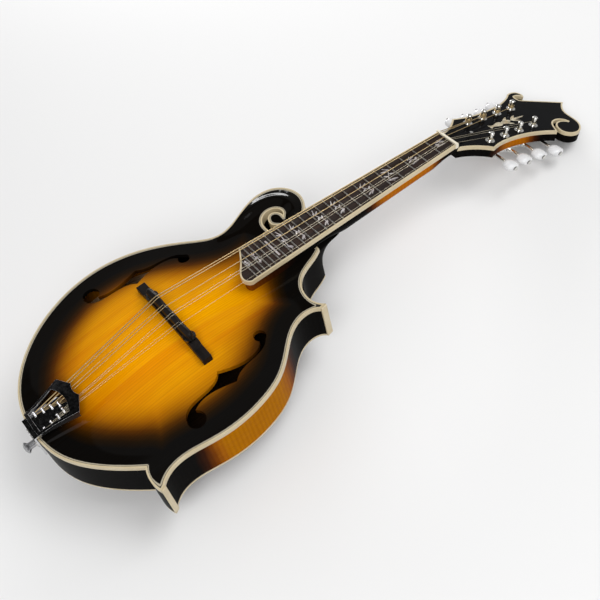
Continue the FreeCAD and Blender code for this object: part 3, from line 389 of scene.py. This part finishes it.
# Places where the stain is black: point, radius of the black and radius where the amber is clear, in metres.
SIDE_SPOTS = [((0.020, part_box("sides")[0].y, -0.006), 0.085, 0.125), ((0.121, 0.080, -0.006), 0.016, 0.062),
              ((0.105, 0.060, -0.006), 0.03, 0.05), ((0.078, 0.285, -0.006), 0.030, 0.090),
              ((0.020, 0.330, -0.006), 0.05, 0.08), ((-0.070, 0.300, -0.006), 0.070, 0.110)]
NECK_SPOTS = [((0, 0.345, 0.0), 0.045, 0.085), ((0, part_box("neck")[1].y, -0.05), 0.075, 0.105),
              ((0, 0.535, -0.005), 0.030, 0.062)]
RISER_SPOTS = [((0, 0.345, 0.02), 0.02, 0.15)]
EVEN = (1, 1, 1)
MATS = {
    "spruce": spruce(),
    "maple_back": maple_back(),
    "maple_sides": maple_stained("maple_sides", SIDE_SPOTS, (1, 1, 0.15), (0.40, 0.144, 0.001)),
    "maple_neck": maple_stained("maple_neck", NECK_SPOTS, EVEN, (0.42, 0.125, 0.002), flame_size=60),
    "stained_riser": maple_stained("stained_riser", RISER_SPOTS, EVEN, (0.16, 0.05, 0.003)),
    "bare": bare_wood("bare_spruce", (0.42, 0.26, 0.13), (0.62, 0.43, 0.25)),
    # painted shade: the wood inside the body, coloured near black for the shade in it
    "inside": bare_wood("inside_painted_shade", (0.010, 0.005, 0.002), (0.030, 0.014, 0.006)),
    "cream": cream(),
    "purfling": purfling(),
    "bone": bone(),
    "rosewood": rosewood(),
    "ebony": ebony(),
    "lacquer": lacquer(),
    "pearl": pearl("mother_of_pearl", (0.16, 0.15, 0.15), (0.34, 0.31, 0.31), (0.56, 0.53, 0.52),
                   (1.1, 0.92, 0.84)),
    "abalone": pearl("abalone", (0.12, 0.10, 0.07), (0.36, 0.30, 0.20), (0.62, 0.56, 0.42),
                     (1.25, 0.95, 0.55)),
    "pearloid": pearloid(),
    "fret": metal("fret_wire", (0.50, 0.48, 0.45), 0.26),
    "steel": metal("steel", (0.45, 0.45, 0.45), 0.3),
    "chrome": metal("chrome", (0.80, 0.80, 0.81), 0.07, depth=0.01),
    # chrome darkened in colour: a painted dark reflection
    "chrome_painted_dark_reflection": metal("chrome_painted_dark_reflection", (0.30, 0.30, 0.31), 0.09, depth=0.01),
    "nickel": metal("nickel", (0.72, 0.71, 0.68), 0.13, depth=0.02),
    "bridge_metal": metal("bridge_metal", (0.66, 0.64, 0.60), 0.16),
    "wheel_metal": metal("wheel_metal", (0.16, 0.15, 0.14), 0.2),
    # a brighter chrome for rounded edges: painted highlight
    "chrome_painted_edge_highlight": metal("chrome_painted_edge_highlight", (0.90, 0.90, 0.91), 0.34, depth=0.01),
    # chrome darkened in colour for the end pin: a painted dark reflection
    "pin_chrome_painted_dark_reflection": metal("pin_chrome_painted_dark_reflection", (0.42, 0.42, 0.43), 0.08, depth=0.01),
    "bronze": wound("bronze_wound", (0.58, 0.43, 0.22)),
    # steel strings tinted warm as a painted reflection
    "plain": metal("steel_painted_warm_reflection", (0.54, 0.48, 0.36), 0.3),
}


def dress(material, *nodes):
    for node in nodes:
        for slot in NODES[node].material_slots:
            slot.material = MATS[material]


dress("maple_sides", "sides")
dress("bare", "blocks", "linings", "tone_bars")
dress("stained_riser", "fretboard_riser")
dress("cream", "top_binding", "back_binding", "point_protectors", "head_binding", "fretboard_binding")
dress("bone", "nut")
dress("rosewood", "fretboard")
dress("ebony", "bridge_base")
dress("lacquer", "head_plate", "truss_rod_cover")
dress("pearl", "fret_inlays")
dress("abalone", "head_inlay")
dress("fret", "frets")
dress("steel", "truss_rod")
dress("chrome", "tailpiece_bracket")
dress("pin_chrome_painted_dark_reflection", "end_pin")
# the tailpiece frame in chrome darkened as a painted reflection
dress("chrome_painted_dark_reflection", "tailpiece_frame")
dress("nickel", "tuner_plates", "tuner_bushings", "screws")
dress("bridge_metal", "bridge_studs")
dress("wheel_metal", "bridge_wheel_bass", "bridge_wheel_treble")
for number in MACHINES:
    dress("nickel", f"tuner_worm_{number}", f"tuner_post_{number}")


# ---------------------------------------------------------------- what the pieces share
WELD = 1e-6    # corners of a CAD mesh closer than this are one, in metres


def welded(node):
    """A CAD node's mesh to work on, with its doubled corners joined."""
    work = bmesh.new()
    work.from_mesh(NODES[node].data)
    bmesh.ops.remove_doubles(work, verts=work.verts, dist=WELD)
    return work


def finished(work, name):
    """The work as a mesh of its own."""
    mesh = bpy.data.meshes.new(name)
    work.to_mesh(mesh)
    work.free()
    return mesh


def shade_smooth(mesh, sharp_over):
    """Smooth shading, apart from edges that turn more than so many degrees."""
    mesh.polygons.foreach_set("use_smooth", [True] * len(mesh.polygons))
    mesh.set_sharp_from_angle(angle=math.radians(sharp_over))


def show(name, mesh):
    piece = bpy.data.objects.new(name, mesh)
    bpy.context.scene.collection.objects.link(piece)
    return piece


def smooth(share):
    """Eases from 0 to 1."""
    share = np.clip(share, 0, 1)
    return share * share * (3 - 2 * share)


# ---------------------------------------------------------------- rounded edges
FLAT_UNDER = 0.5     # degrees: faces that turn less than this are one flat face
SHARP_OVER = 35      # degrees: edges that turn more than this are rounded


def rounded(node, body, width, segments=2, edge=None):
    """A CAD node's copy, its sharp edges rounded by width mm, in the edge material if one is named."""
    source = NODES[node]
    work = welded(node)
    bmesh.ops.dissolve_limit(work, angle_limit=math.radians(FLAT_UNDER), verts=work.verts, edges=work.edges)
    limit = math.radians(SHARP_OVER)
    sharp = [line for line in work.edges if len(line.link_faces) == 2 and line.calc_face_angle(0) > limit]
    count = len(source.material_slots)
    bmesh.ops.bevel(work, geom=sharp, offset=width * MM, offset_type="OFFSET", segments=segments,
                    profile=0.5, affect="EDGES", clamp_overlap=True, material=count if edge else -1)
    mesh = finished(work, node + "_rounded")
    for source_slot in source.material_slots:
        mesh.materials.append(source_slot.material)
    if edge:
        mesh.materials.append(MATS[edge])
    shade_smooth(mesh, sharp_over=40)
    piece = show(node + "_rounded", mesh)
    even_shading = piece.modifiers.new("even_shading", "WEIGHTED_NORMAL")
    even_shading.keep_sharp = True
    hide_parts(node)
    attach(piece, body)


# its rounded edges get the brighter chrome as a painted highlight
rounded("tailpiece_frame", "body", width=0.6, segments=3, edge="chrome_painted_edge_highlight")
rounded("tailpiece_bracket", "body", width=0.2)
rounded("bridge_base", "body", width=0.6, segments=3)
rounded("nut", "body", width=0.2)
rounded("truss_rod_cover", "body", width=0.35)
rounded("tuner_plates", "body", width=0.2)
rounded("point_protectors", "body", width=0.5)


# ---------------------------------------------------------------- saddle, buttons, neck and strings, in mm
BOARD_TILT = 4.55            # degrees, of the fretboard
HEAD_TILT = 15.2             # degrees, of the headstock from the fretboard
BOARD_AT_NUT = 16.05         # height of the fretboard's top at the nut
BOARD_THICK = 5.0
LAST_FRET = 264.3            # from the nut
NECK_HALF = 14.35            # half of the neck's width at the nut
NECK_SPREAD = 8.2            # how much wider that half is at the last fret
NECK_DEEPER = 0.32           # share by which the visible neck is deeper than the CAD one
NECK_FULLNESS = 0.6          # power that rounds the back of the neck; 1 leaves it as it is
HEAD_EASE = (8, 25)          # the change starts so far from the nut, and is full so much further on
HEEL_EASE = (180, 30)        # it ends so far from the nut, and fades over so much before that
LEAST_DEPTH = 0.01           # points less far under the board than this stay where they are

SADDLE_INSET = 1.5           # the visible saddle is shorter at each end than the CAD one
STRING_PAIRS = (6.9, 20.5)   # from the middle of the saddle to the middle of each pair
PAIR_HALF = 1.6              # from there to each string of the pair
STATION_STEP = 0.7           # between the saddle's sections
END_TURN = (0.25, 1.5)       # radians of the round end that the stations cover
END_STATIONS = 7
SADDLE_FULLNESS = 0.92       # share of the CAD saddle's width
LEAST_WIDTH = 0.03           # squared share of the width at the very end
SWAY, SWAY_LENGTH = 0.7, 13.7            # of the crown, front to back, and the length of half a wave
NOTCH_DEEP, NOTCH_HALF = 0.35, 0.7       # depth and half width of the notch under each string
END_DROP = 2.2               # how much lower the crown is at the ends
CROWN_HIGH, CROWN_POWER, CROWN_POINTS = 4.2, 0.7, 15
CROWN_SHOULDER = 0.55        # share of the width that the crown keeps where it narrows

BUTTON_GAP, BUTTON_SHORT = 0.10, 0.03   # shares of the CAD button left free at its inner and outer end
BUTTON_ENDS = (3.0, 2.2)                # half width and half thickness at the ends
BUTTON_BULGE = (5.8, 2.5)               # what the middle adds to them
BUTTON_POWER = 2.4                      # over 2, the button is full towards its ends
BUTTON_POINTS = 32
BUTTON_STATIONS = np.concatenate([[0, 0.015], np.linspace(0.05, 0.95, 19), [0.985, 1]])

HOOKS_IN = 34                # from the tailpiece's rear edge to its hooks
CREST_HALF = 1               # mm on each side of the saddle's middle


def loft(name, rings):
    """A closed smooth mesh in mm through rings of the same number of points, with flat ends."""
    count = len(rings[0])
    polys = [list(range(count))[::-1], [(len(rings) - 1) * count + i for i in range(count)]]
    for k in range(len(rings) - 1):
        for i in range(count):
            j = (i + 1) % count
            polys.append([k * count + i, k * count + j, (k + 1) * count + j, (k + 1) * count + i])
    mesh = bpy.data.meshes.new(name)
    mesh.from_pydata([tuple(c * MM for c in point) for ring in rings for point in ring], [], polys)
    shade_smooth(mesh, sharp_over=50)
    work = bmesh.new()
    work.from_mesh(mesh)
    bmesh.ops.recalc_face_normals(work, faces=work.faces)
    work.to_mesh(mesh)
    work.free()
    return show(name, mesh)


def make_saddle():
    """Compensated saddle: its crown wanders front to back under the string pairs, and its ends are round."""
    low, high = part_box("bridge_saddle")
    end = high.x / MM - SADDLE_INSET
    middle_y, half = (low.y + high.y) / 2 / MM, (high.y - low.y) / 2 / MM
    bottom, top = low.z / MM, high.z / MM
    pairs = [side * pair for side in SIDES for pair in STRING_PAIRS]
    strings = [pair + offset for pair in pairs for offset in (-PAIR_HALF, PAIR_HALF)]
    turn = np.linspace(*END_TURN, END_STATIONS)
    stations = np.concatenate([[-end], -end + half * (1 - np.cos(turn)),
                               np.arange(-end + half, end - half, STATION_STEP),
                               end - half * (1 - np.cos(turn[::-1])), [end]])
    rings = []
    for x in stations:
        run_out = max(0.0, (abs(x) - (end - half)) / half)
        wide = half * SADDLE_FULLNESS * math.sqrt(max(LEAST_WIDTH, 1 - run_out * run_out))
        sway = SWAY * math.sin(math.pi * x / SWAY_LENGTH) * (1 - run_out)
        notch = NOTCH_DEEP * max(0.0, 1 - min(abs(x - string) for string in strings) / NOTCH_HALF)
        crest = top - notch - END_DROP * run_out * run_out
        ring = [(x, middle_y - wide, bottom), (x, middle_y + wide, bottom)]
        for t in np.linspace(0, math.pi, CROWN_POINTS):
            narrowed = CROWN_SHOULDER + (1 - CROWN_SHOULDER) * abs(math.cos(t))
            y = middle_y + (wide * math.cos(t)) * narrowed + sway * math.sin(t)
            ring.append((x, y, crest - CROWN_HIGH * (1 - math.sin(t) ** CROWN_POWER)))
        rings.append(ring)
    saddle = loft("saddle_carved", rings)
    saddle.data.materials.append(MATS["ebony"])
    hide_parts("bridge_saddle")
    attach(saddle, "saddle")


def make_button(number):
    """Oval pearloid button, tilted with the headstock, with its screw dark at the outer end."""
    low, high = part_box(f"tuner_button_{number}")
    tilt = math.radians(BOARD_TILT + HEAD_TILT)
    centre_y, centre_z = (low.y + high.y) / 2 / MM, (low.z + high.z) / 2 / MM
    inner, outer = (low.x / MM, high.x / MM) if high.x > 0 else (high.x / MM, low.x / MM)
    start, stop = inner + BUTTON_GAP * (outer - inner), outer - BUTTON_SHORT * (outer - inner)
    rings = []
    for share in BUTTON_STATIONS:
        bulge = (1 - abs(2 * share - 1) ** BUTTON_POWER) ** 0.5
        wide, thick = (least + more * bulge for least, more in zip(BUTTON_ENDS, BUTTON_BULGE))
        ring = []
        for k in range(BUTTON_POINTS):
            turn = 2 * math.pi * k / BUTTON_POINTS
            across, deep = wide * math.cos(turn), thick * math.sin(turn)
            y = centre_y + across * math.cos(tilt) + deep * math.sin(tilt)
            z = centre_z - across * math.sin(tilt) + deep * math.cos(tilt)
            ring.append((start + (stop - start) * share, y, z))
        rings.append(ring)
    button = loft(f"button_{number}", rings)
    button.data.materials.append(MATS["pearloid"])
    button.data.materials.append(MATS["wheel_metal"])
    button.data.polygons[1].material_index = 1
    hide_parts(f"tuner_button_{number}")
    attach(button, f"key_{number}")


def make_neck():
    """The neck with a fuller, deeper back between heel and headstock than its CAD node has."""
    work = welded("neck")
    tilt = math.radians(BOARD_TILT)
    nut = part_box("nut")[0].y / MM
    for vertex in work.verts:
        y, z = vertex.co.y / MM - nut, vertex.co.z / MM - BOARD_AT_NUT
        along = y * math.cos(tilt) - z * math.sin(tilt)
        under = y * math.sin(tilt) + z * math.cos(tilt)
        depth = -under - BOARD_THICK
        ease = smooth((-along - HEAD_EASE[0]) / HEAD_EASE[1]) * smooth((along + HEEL_EASE[0]) / HEEL_EASE[1])
        if depth < LEAST_DEPTH or ease == 0:
            continue
        half = NECK_HALF + NECK_SPREAD * -along / LAST_FRET
        share = min(1.0, abs(vertex.co.x) / MM / half)
        fuller = share + ease * (share ** NECK_FULLNESS - share)
        deeper = (1 + NECK_DEEPER * ease) * depth + BOARD_THICK
        vertex.co.x = math.copysign(fuller * half * MM, vertex.co.x)
        vertex.co.y = (nut + along * math.cos(tilt) - deeper * math.sin(tilt)) * MM
        vertex.co.z = (BOARD_AT_NUT - along * math.sin(tilt) - deeper * math.cos(tilt)) * MM
    mesh = finished(work, "neck_carved")
    mesh.materials.append(MATS["maple_neck"])
    mesh.polygons.foreach_set("material_index", [0] * len(mesh.polygons))
    shade_smooth(mesh, sharp_over=35)
    piece = show("neck_carved", mesh)
    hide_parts("neck")
    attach(piece, "body")


def split_strings(node, material):
    """The strings in two lengths: from tail to saddle, and from saddle to posts."""
    low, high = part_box("bridge_saddle")
    crest = (low.y + high.y) / 2
    flat = CREST_HALF * MM
    hooks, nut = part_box("tailpiece_frame")[0].y + HOOKS_IN * MM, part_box("nut")[0].y
    lengths = [("tail", -1, "body", "saddle", hooks, crest - flat),
               ("neck", 1, "saddle", "body", crest + flat, nut)]
    for name, side, first, second, start, end in lengths:
        work = bmesh.new()
        work.from_mesh(NODES[node].data)
        other = [face for face in work.faces if (face.calc_center_median().y - crest) * side < 0]
        bmesh.ops.delete(work, geom=other, context="FACES")
        mesh = finished(work, f"{node}_{name}")
        mesh.materials.append(MATS[material])
        piece = show(f"{node}_{name}", mesh)
        if side < 0:
            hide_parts(node)
        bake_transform(piece)


make_saddle()
make_neck()
split_strings("wound_strings", "bronze")
split_strings("plain_strings", "plain")
for number in MACHINES:
    make_button(number)


# ---------------------------------------------------------------- outlines of the CAD plates
FACING = 0.35         # a face whose normal rises less than this isn't part of the outer face
SAMPLE_STEP = 0.4     # mm between the points from which a distance to a loop is measured
SHORTEST_LOOP = 0.1   # metres: shorter loops are left out


def face_loops(node, up):
    """Boundary loops, in metres, of a CAD node's outer face, whose normals point up (1) or down (-1)."""
    mesh = NODES[node].data
    corners = {}
    corner_of = []
    for vertex in mesh.vertices:
        place = tuple(round(c, 6) for c in vertex.co)
        corner_of.append(corners.setdefault(place, len(corners)))
    points = list(corners)
    edges = {}
    for face in mesh.polygons:
        if face.normal.z * up < FACING:
            continue
        ids = [corner_of[i] for i in face.vertices]
        for a, b in zip(ids, ids[1:] + ids[:1]):
            if a != b:
                edges[(a, b)] = True
    after = {a: b for a, b in edges if (b, a) not in edges}
    loops = []
    while after:
        start, here = next(iter(after.items()))
        del after[start]
        loop = [start]
        while here != start and here in after:
            loop.append(here)
            here = after.pop(here)
        loops.append(np.array([points[i] for i in loop]))
    return loops


def length(loop):
    return np.linalg.norm(np.roll(loop, -1, 0) - loop, axis=1).sum()


def loops_mm(node, up):
    return [loop / MM for loop in face_loops(node, up) if length(loop) > SHORTEST_LOOP]


def between(loops, shortest, longest):
    """The loops whose length lies between two lengths in mm."""
    return [loop for loop in loops if shortest < length(loop) < longest]


def even(loop, step):
    """The same closed loop with points about step apart, its corners kept."""
    out = []
    for a, b in zip(loop, np.roll(loop, -1, 0)):
        runs = max(1, int(round(np.linalg.norm(b - a) / step)))
        out += [a + (b - a) * t / runs for t in range(runs)]
    return np.array(out)


def inside(points, loop):
    """Which 2-D points lie inside a closed loop."""
    x, y = points[:, 0], points[:, 1]
    hit = np.zeros(len(points), bool)
    for (x0, y0), (x1, y1) in zip(loop[:, :2], np.roll(loop, -1, 0)[:, :2]):
        if y0 == y1:
            continue
        hit ^= ((y0 > y) != (y1 > y)) & (x < (x1 - x0) * (y - y0) / (y1 - y0) + x0)
    return hit


def nearest(points, loops):
    """Distance from each 2-D point to the nearest of the loops' points."""
    every = np.vstack([even(loop[:, :2], SAMPLE_STEP) for loop in loops])
    tree = KDTree(len(every))
    for i, point in enumerate(every):
        tree.insert((point[0], point[1], 0), i)
    tree.balance()
    return np.array([tree.find((point[0], point[1], 0))[2] for point in points])


# ---------------------------------------------------------------- sheets
ROW_SPACING = 0.866      # between the rows of a grid of even triangles, as a share of its step
RIM_STEP = 1.5           # mm between points on a rim, at most
RIM_CLEARANCE = 0.45     # share of the step that a grid keeps off the rims
CDT_MERGE = 1e-5         # mm under which the triangulation takes two points as one


def grid_inside(outer, holes, rims, step):
    """Points of a triangular grid inside the outer loop and outside the holes, clear of the rims."""
    x = np.arange(outer[:, 0].min(), outer[:, 0].max(), step)
    y = np.arange(outer[:, 1].min(), outer[:, 1].max(), step * ROW_SPACING)
    grid_x, grid_y = np.meshgrid(x, y)
    grid_x[1::2] += step / 2
    grid = np.stack([grid_x.ravel(), grid_y.ravel()], 1)
    keep = inside(grid, outer)
    for hole in holes:
        keep &= ~inside(grid, hole)
    grid = grid[keep]
    return grid[nearest(grid, rims) > step * RIM_CLEARANCE]


def triangulated(rims, grid):
    """Corners in the plane, and the triangles between them inside the first rim and outside the others."""
    flat = np.vstack([rim[:, :2] for rim in rims] + [grid])
    edges = []
    start = 0
    for rim in rims:
        count = len(rim)
        edges += [(start + i, start + (i + 1) % count) for i in range(count)]
        start += count
    found = delaunay_2d_cdt([Vector(point) for point in flat], edges, [], 0, CDT_MERGE)
    corners = np.array([(corner.x, corner.y) for corner in found[0]])
    triangles = np.array(found[2])
    middles = corners[triangles].mean(1)
    kept = inside(middles, rims[0])
    for rim in rims[1:]:
        kept &= ~inside(middles, rim)
    return corners, triangles[kept]


def sheet_mesh(name, outer, holes, height, step, thick, up, values):
    """A smooth curved plate in mm with walls round its outline and holes. values gives its attributes."""
    rims = [even(loop, min(step, RIM_STEP)) for loop in [outer] + holes]
    corners, triangles = triangulated(rims, grid_inside(outer, holes, rims, step))
    face = np.column_stack([corners, height(corners[:, 0], corners[:, 1])])
    a, b, c = (face[triangles[:, i]] for i in range(3))
    turned = np.cross(b - a, c - a)[:, 2] * up < 0
    triangles[turned] = triangles[turned][:, ::-1]
    points = [face]
    polys = [list(triangle) for triangle in triangles]
    count = len(face)
    for rim in rims:
        edge = np.column_stack([rim[:, :2], height(rim[:, 0], rim[:, 1])])
        points += [edge, edge - (0, 0, up * thick)]
        size = len(rim)
        for i in range(size):
            j = (i + 1) % size
            polys.append([count + i, count + j, count + size + j, count + size + i])
        count += 2 * size
    all_points = np.vstack(points)
    mesh = bpy.data.meshes.new(name)
    mesh.from_pydata((all_points * MM).tolist(), [], polys)
    mesh.polygons.foreach_set("use_smooth", [True] * len(polys))
    for key, value_at in values.items():
        attribute = mesh.attributes.new(key, "FLOAT", "POINT")
        attribute.data.foreach_set("value", value_at(all_points).astype(np.float32))
    return show(name, mesh)


# ---------------------------------------------------------------- carved plates, in mm
RIM_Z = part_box("top_binding")[1].z / MM
BACK_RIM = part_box("back_binding")[0].z / MM
ARCH_TOP, ARCH_BACK = 15.0, 13.0         # how far each plate rises over its rim
ARCH_MIDDLE = 160.0                      # along the body, where the arch is highest
ARCH_HALF_WIDE, ARCH_HALF_LONG = 118.0, 146.0
ARCH_POWER = 0.9
CREST = [(-62, 246), (-68, 268), (-70, 290), (-73, 312), (-71, 331), (-62, 343.5), (-49, 347), (-38, 341)]
RIDGE_HIGH, RIDGE_WIDE = 3.2, 7.0        # of the ridge that runs along CREST into the scroll
RIDGE_START, RIDGE_RUN = 244, 60         # it rises out of the plate over this run
BURST_SCALE = 100                        # distance from the rim at which the sunburst ends
TREBLE_START, TREBLE_RUN = 190, 40       # along the body: where the treble side's band narrows
TREBLE_WIDE = 30                         # across it
TREBLE_NARROWER = 0.22
OUTLINE_LENGTH = (900, 1020)
SLOT_LENGTH = (150, 170)
F_HOLE_LENGTH = (250, 320)
LEVEL = 0.3                              # a loop this near the rim's height lies on the rim
TOP_STEP, BACK_STEP, LINE_STEP, INSIDE_STEP = 2.6, 2.8, 4.0, 5.0   # between the points of each sheet's grid
TOP_THICK, BACK_THICK, LINE_THICK, INSIDE_THICK = 4.4, 3.8, 0.9, 0.1
INSIDE_RISE = 3.9                        # from the back's outer face to the wood seen through the f-holes


def arch(x, y):
    reach = np.clip(np.hypot(x / ARCH_HALF_WIDE, (y - ARCH_MIDDLE) / ARCH_HALF_LONG), 0, 1)
    return (0.5 + 0.5 * np.cos(np.pi * reach)) ** ARCH_POWER


def smooth_line(points, steps=8):
    """A Catmull-Rom curve through 2-D points."""
    p = np.array([points[0]] + list(points) + [points[-1]], float)
    out = []
    for a, b, c, d in zip(p, p[1:], p[2:], p[3:]):
        for t in np.arange(steps) / steps:
            square, cube = (2 * a - 5 * b + 4 * c - d) * t**2, (3 * b - a - 3 * c + d) * t**3
            out.append(0.5 * (2 * b + (c - a) * t + square + cube))
    return np.array(out + [p[-1]])


def to_line(x, y, line):
    """Distance from points to a 2-D line of short runs."""
    best = np.full(np.shape(x), np.inf)
    for (x0, y0), (x1, y1) in zip(line[:-1], line[1:]):
        run = np.array((x1 - x0, y1 - y0))
        t = np.clip(((x - x0) * run[0] + (y - y0) * run[1]) / (run @ run), 0, 1)
        best = np.minimum(best, np.hypot(x - x0 - t * run[0], y - y0 - t * run[1]))
    return best


def top_height(x, y):
    ridge = RIDGE_HIGH * np.exp(-(to_line(x, y, smooth_line(CREST)) / RIDGE_WIDE) ** 2)
    return RIM_Z + ARCH_TOP * arch(x, y) + ridge * smooth((y - RIDGE_START) / RIDGE_RUN)


def back_height(x, y):
    return BACK_RIM - ARCH_BACK * arch(x, y)


def inside_height(x, y):
    return back_height(x, y) + INSIDE_RISE


def rim_height(x, y):
    return np.full(np.shape(x), RIM_Z)


def burst_depth(points, rims):
    """Distance in from the rims. The dark band is narrower on the treble side of the upper bout."""
    along = np.clip((points[:, 1] - TREBLE_START) / TREBLE_RUN, 0, 1)
    upper_treble = along * np.clip(points[:, 0] / TREBLE_WIDE, 0, 1)
    return nearest(points, rims) * (1 + TREBLE_NARROWER * upper_treble) / BURST_SCALE


def on_rim(loops):
    return [loop for loop in loops if abs(loop[:, 2].mean() - RIM_Z) < LEVEL]


def make_top():
    found = loops_mm("top_plate", 1)
    outline = on_rim(between(found, *OUTLINE_LENGTH))[0]
    slot = on_rim(between(found, *SLOT_LENGTH))[0]
    f_holes = between(found, *F_HOLE_LENGTH)
    whole = max(loops_mm("top_purfling", 1), key=length)
    top = sheet_mesh("carved_top", outline, [slot] + f_holes, top_height, TOP_STEP, TOP_THICK, 1,
                     {"edge": lambda points: burst_depth(points, [whole, slot])})
    top.data.materials.append(MATS["spruce"])
    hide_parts("top_plate")
    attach(top, "body")


def make_purfling():
    """Two strips: one round the body, which stands for the CAD node, and one round the scroll's slot."""
    lines = sorted(loops_mm("top_purfling", 1), key=length)
    slot_lines = lines[:-2]
    for k, (outer, inner) in enumerate(((lines[-1], lines[-2]), (slot_lines[-1], slot_lines[0]))):
        def across(points):
            """0 at the outer edge and 1 at the inner one."""
            from_outer, from_inner = nearest(points, [outer]), nearest(points, [inner])
            return from_outer / (from_outer + from_inner + 1e-6)

        strip = sheet_mesh(f"purfling_{k + 1}", outer, [inner], rim_height, LINE_STEP, LINE_THICK, 1,
                           {"across": across})
        strip.data.materials.append(MATS["purfling"])
        if k == 0:
            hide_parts("top_purfling")
        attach(strip, "body")


def make_back():
    """The carved back, and the wood inside it that shows through the f-holes, coloured near black as painted
    shade.
    """
    found = sorted(loops_mm("back_plate", -1), key=length)
    outline, slot = found[-1], found[-2]
    back = sheet_mesh("carved_back", outline, [slot], back_height, BACK_STEP, BACK_THICK, -1,
                      {"edge": lambda points: nearest(points, [outline]) / BURST_SCALE})
    back.data.materials.append(MATS["maple_back"])
    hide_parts("back_plate")
    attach(back, "body")
    # the wood inside, near black as painted shade
    floor = sheet_mesh("back_inside", outline, [slot], inside_height, INSIDE_STEP, INSIDE_THICK, 1, {})
    floor.data.materials.append(MATS["inside"])
    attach(floor, "body")


make_top()
make_purfling()
make_back()


# ---------------------------------------------------------------- stage, in metres
FLOOR_SIZE = 14
FLOOR_GAP = 0.0005        # the floor lies this far under the part
FLOOR_COLOUR = (0.80, 0.80, 0.80)
MIDDLE_Y = 0.3
SKY_STRENGTH = 0.46
LIGHTS = [                # name, place, what it points at, size, power in watts
    ("key", (0.7, 1.3, 2.0), (0, MIDDLE_Y, 0), (1.5, 1.5), 25),
    ("front", (1.2, -0.7, 1.5), (0, 0.25, 0), (1.0, 1.0), 19),
    ("strip", (-1.3, 1.05, 0.30), (-0.07, 0.33, 0.02), (0.7, 0.18), 9),
]
CARD_PLACE = (-1.5, 0.35, 1.9)
CARD_SIZE = (1.9, 2.6, 1)
CARD_LEAN = 38            # degrees
CARD_COLOUR = (0.01, 0.01, 0.01)

# The camera at the photograph's angle: its place, the directions to its right and behind it, and its lens.
CAMERA_PLACE = (0.57311, 0.03101, 0.74049)
CAMERA_RIGHT = (0.60434731, 0.7793795, -0.1653237)
CAMERA_BACK = (0.55854391, -0.26648411, 0.78550297)
SENSOR_WIDTH, LENS = 36, 57.6     # mm
NEAREST, FARTHEST = 0.01, 50


def make_floor():
    bpy.ops.mesh.primitive_plane_add(size=FLOOR_SIZE, location=(0, MIDDLE_Y, cad_box[0].z - FLOOR_GAP))
    floor = bpy.context.object
    floor.name = "floor"
    paper = Mat("floor_paper", rough=0.9)
    paper.set("Base Color", FLOOR_COLOUR)
    floor.data.materials.append(paper.mat)


def make_sky():
    world = bpy.data.worlds.new("studio")
    world.use_nodes = True
    bpy.context.scene.world = world
    world.node_tree.nodes["Background"].inputs[0].default_value = (1, 1, 1, 1)
    world.node_tree.nodes["Background"].inputs[1].default_value = SKY_STRENGTH


def make_light(name, place, target, size, power):
    light = bpy.data.lights.new(name, "AREA")
    light.shape = "RECTANGLE"
    light.size, light.size_y = size
    light.energy = power
    lamp = show(name, light)
    lamp.location = place
    lamp.rotation_mode = "QUATERNION"
    lamp.rotation_quaternion = (Vector(place) - Vector(target)).to_track_quat("Z", "Y")
    lamp.visible_camera = False


def make_card():
    """A black card that only reflections see, so that the lacquer isn't grey all over."""
    bpy.ops.mesh.primitive_plane_add(size=1, location=CARD_PLACE)
    card = bpy.context.object
    card.name = "dark_card"
    card.scale = CARD_SIZE
    card.rotation_euler = (0, math.radians(CARD_LEAN), 0)
    dark = Mat("card_black", rough=1.0)
    dark.set("Base Color", CARD_COLOUR)
    dark.set("Specular IOR Level", 0.0)
    card.data.materials.append(dark.mat)
    card.visible_camera = card.visible_diffuse = card.visible_shadow = False


def make_camera():
    camera = bpy.data.cameras.new("photo_view")
    camera.sensor_width = SENSOR_WIDTH
    camera.lens = LENS
    camera.clip_start, camera.clip_end = NEAREST, FARTHEST
    view = show("photo_view", camera)
    right, back = Vector(CAMERA_RIGHT), Vector(CAMERA_BACK)
    turn = Matrix((right, back.cross(right), back)).transposed()
    view.matrix_world = Matrix.Translation(CAMERA_PLACE) @ turn.to_4x4()
    bpy.context.scene.camera = view


make_floor()
make_sky()
for light in LIGHTS:
    make_light(*light)
make_card()
make_camera()
bpy.context.scene.view_settings.view_transform = "Standard"
bpy.context.view_layer.update()
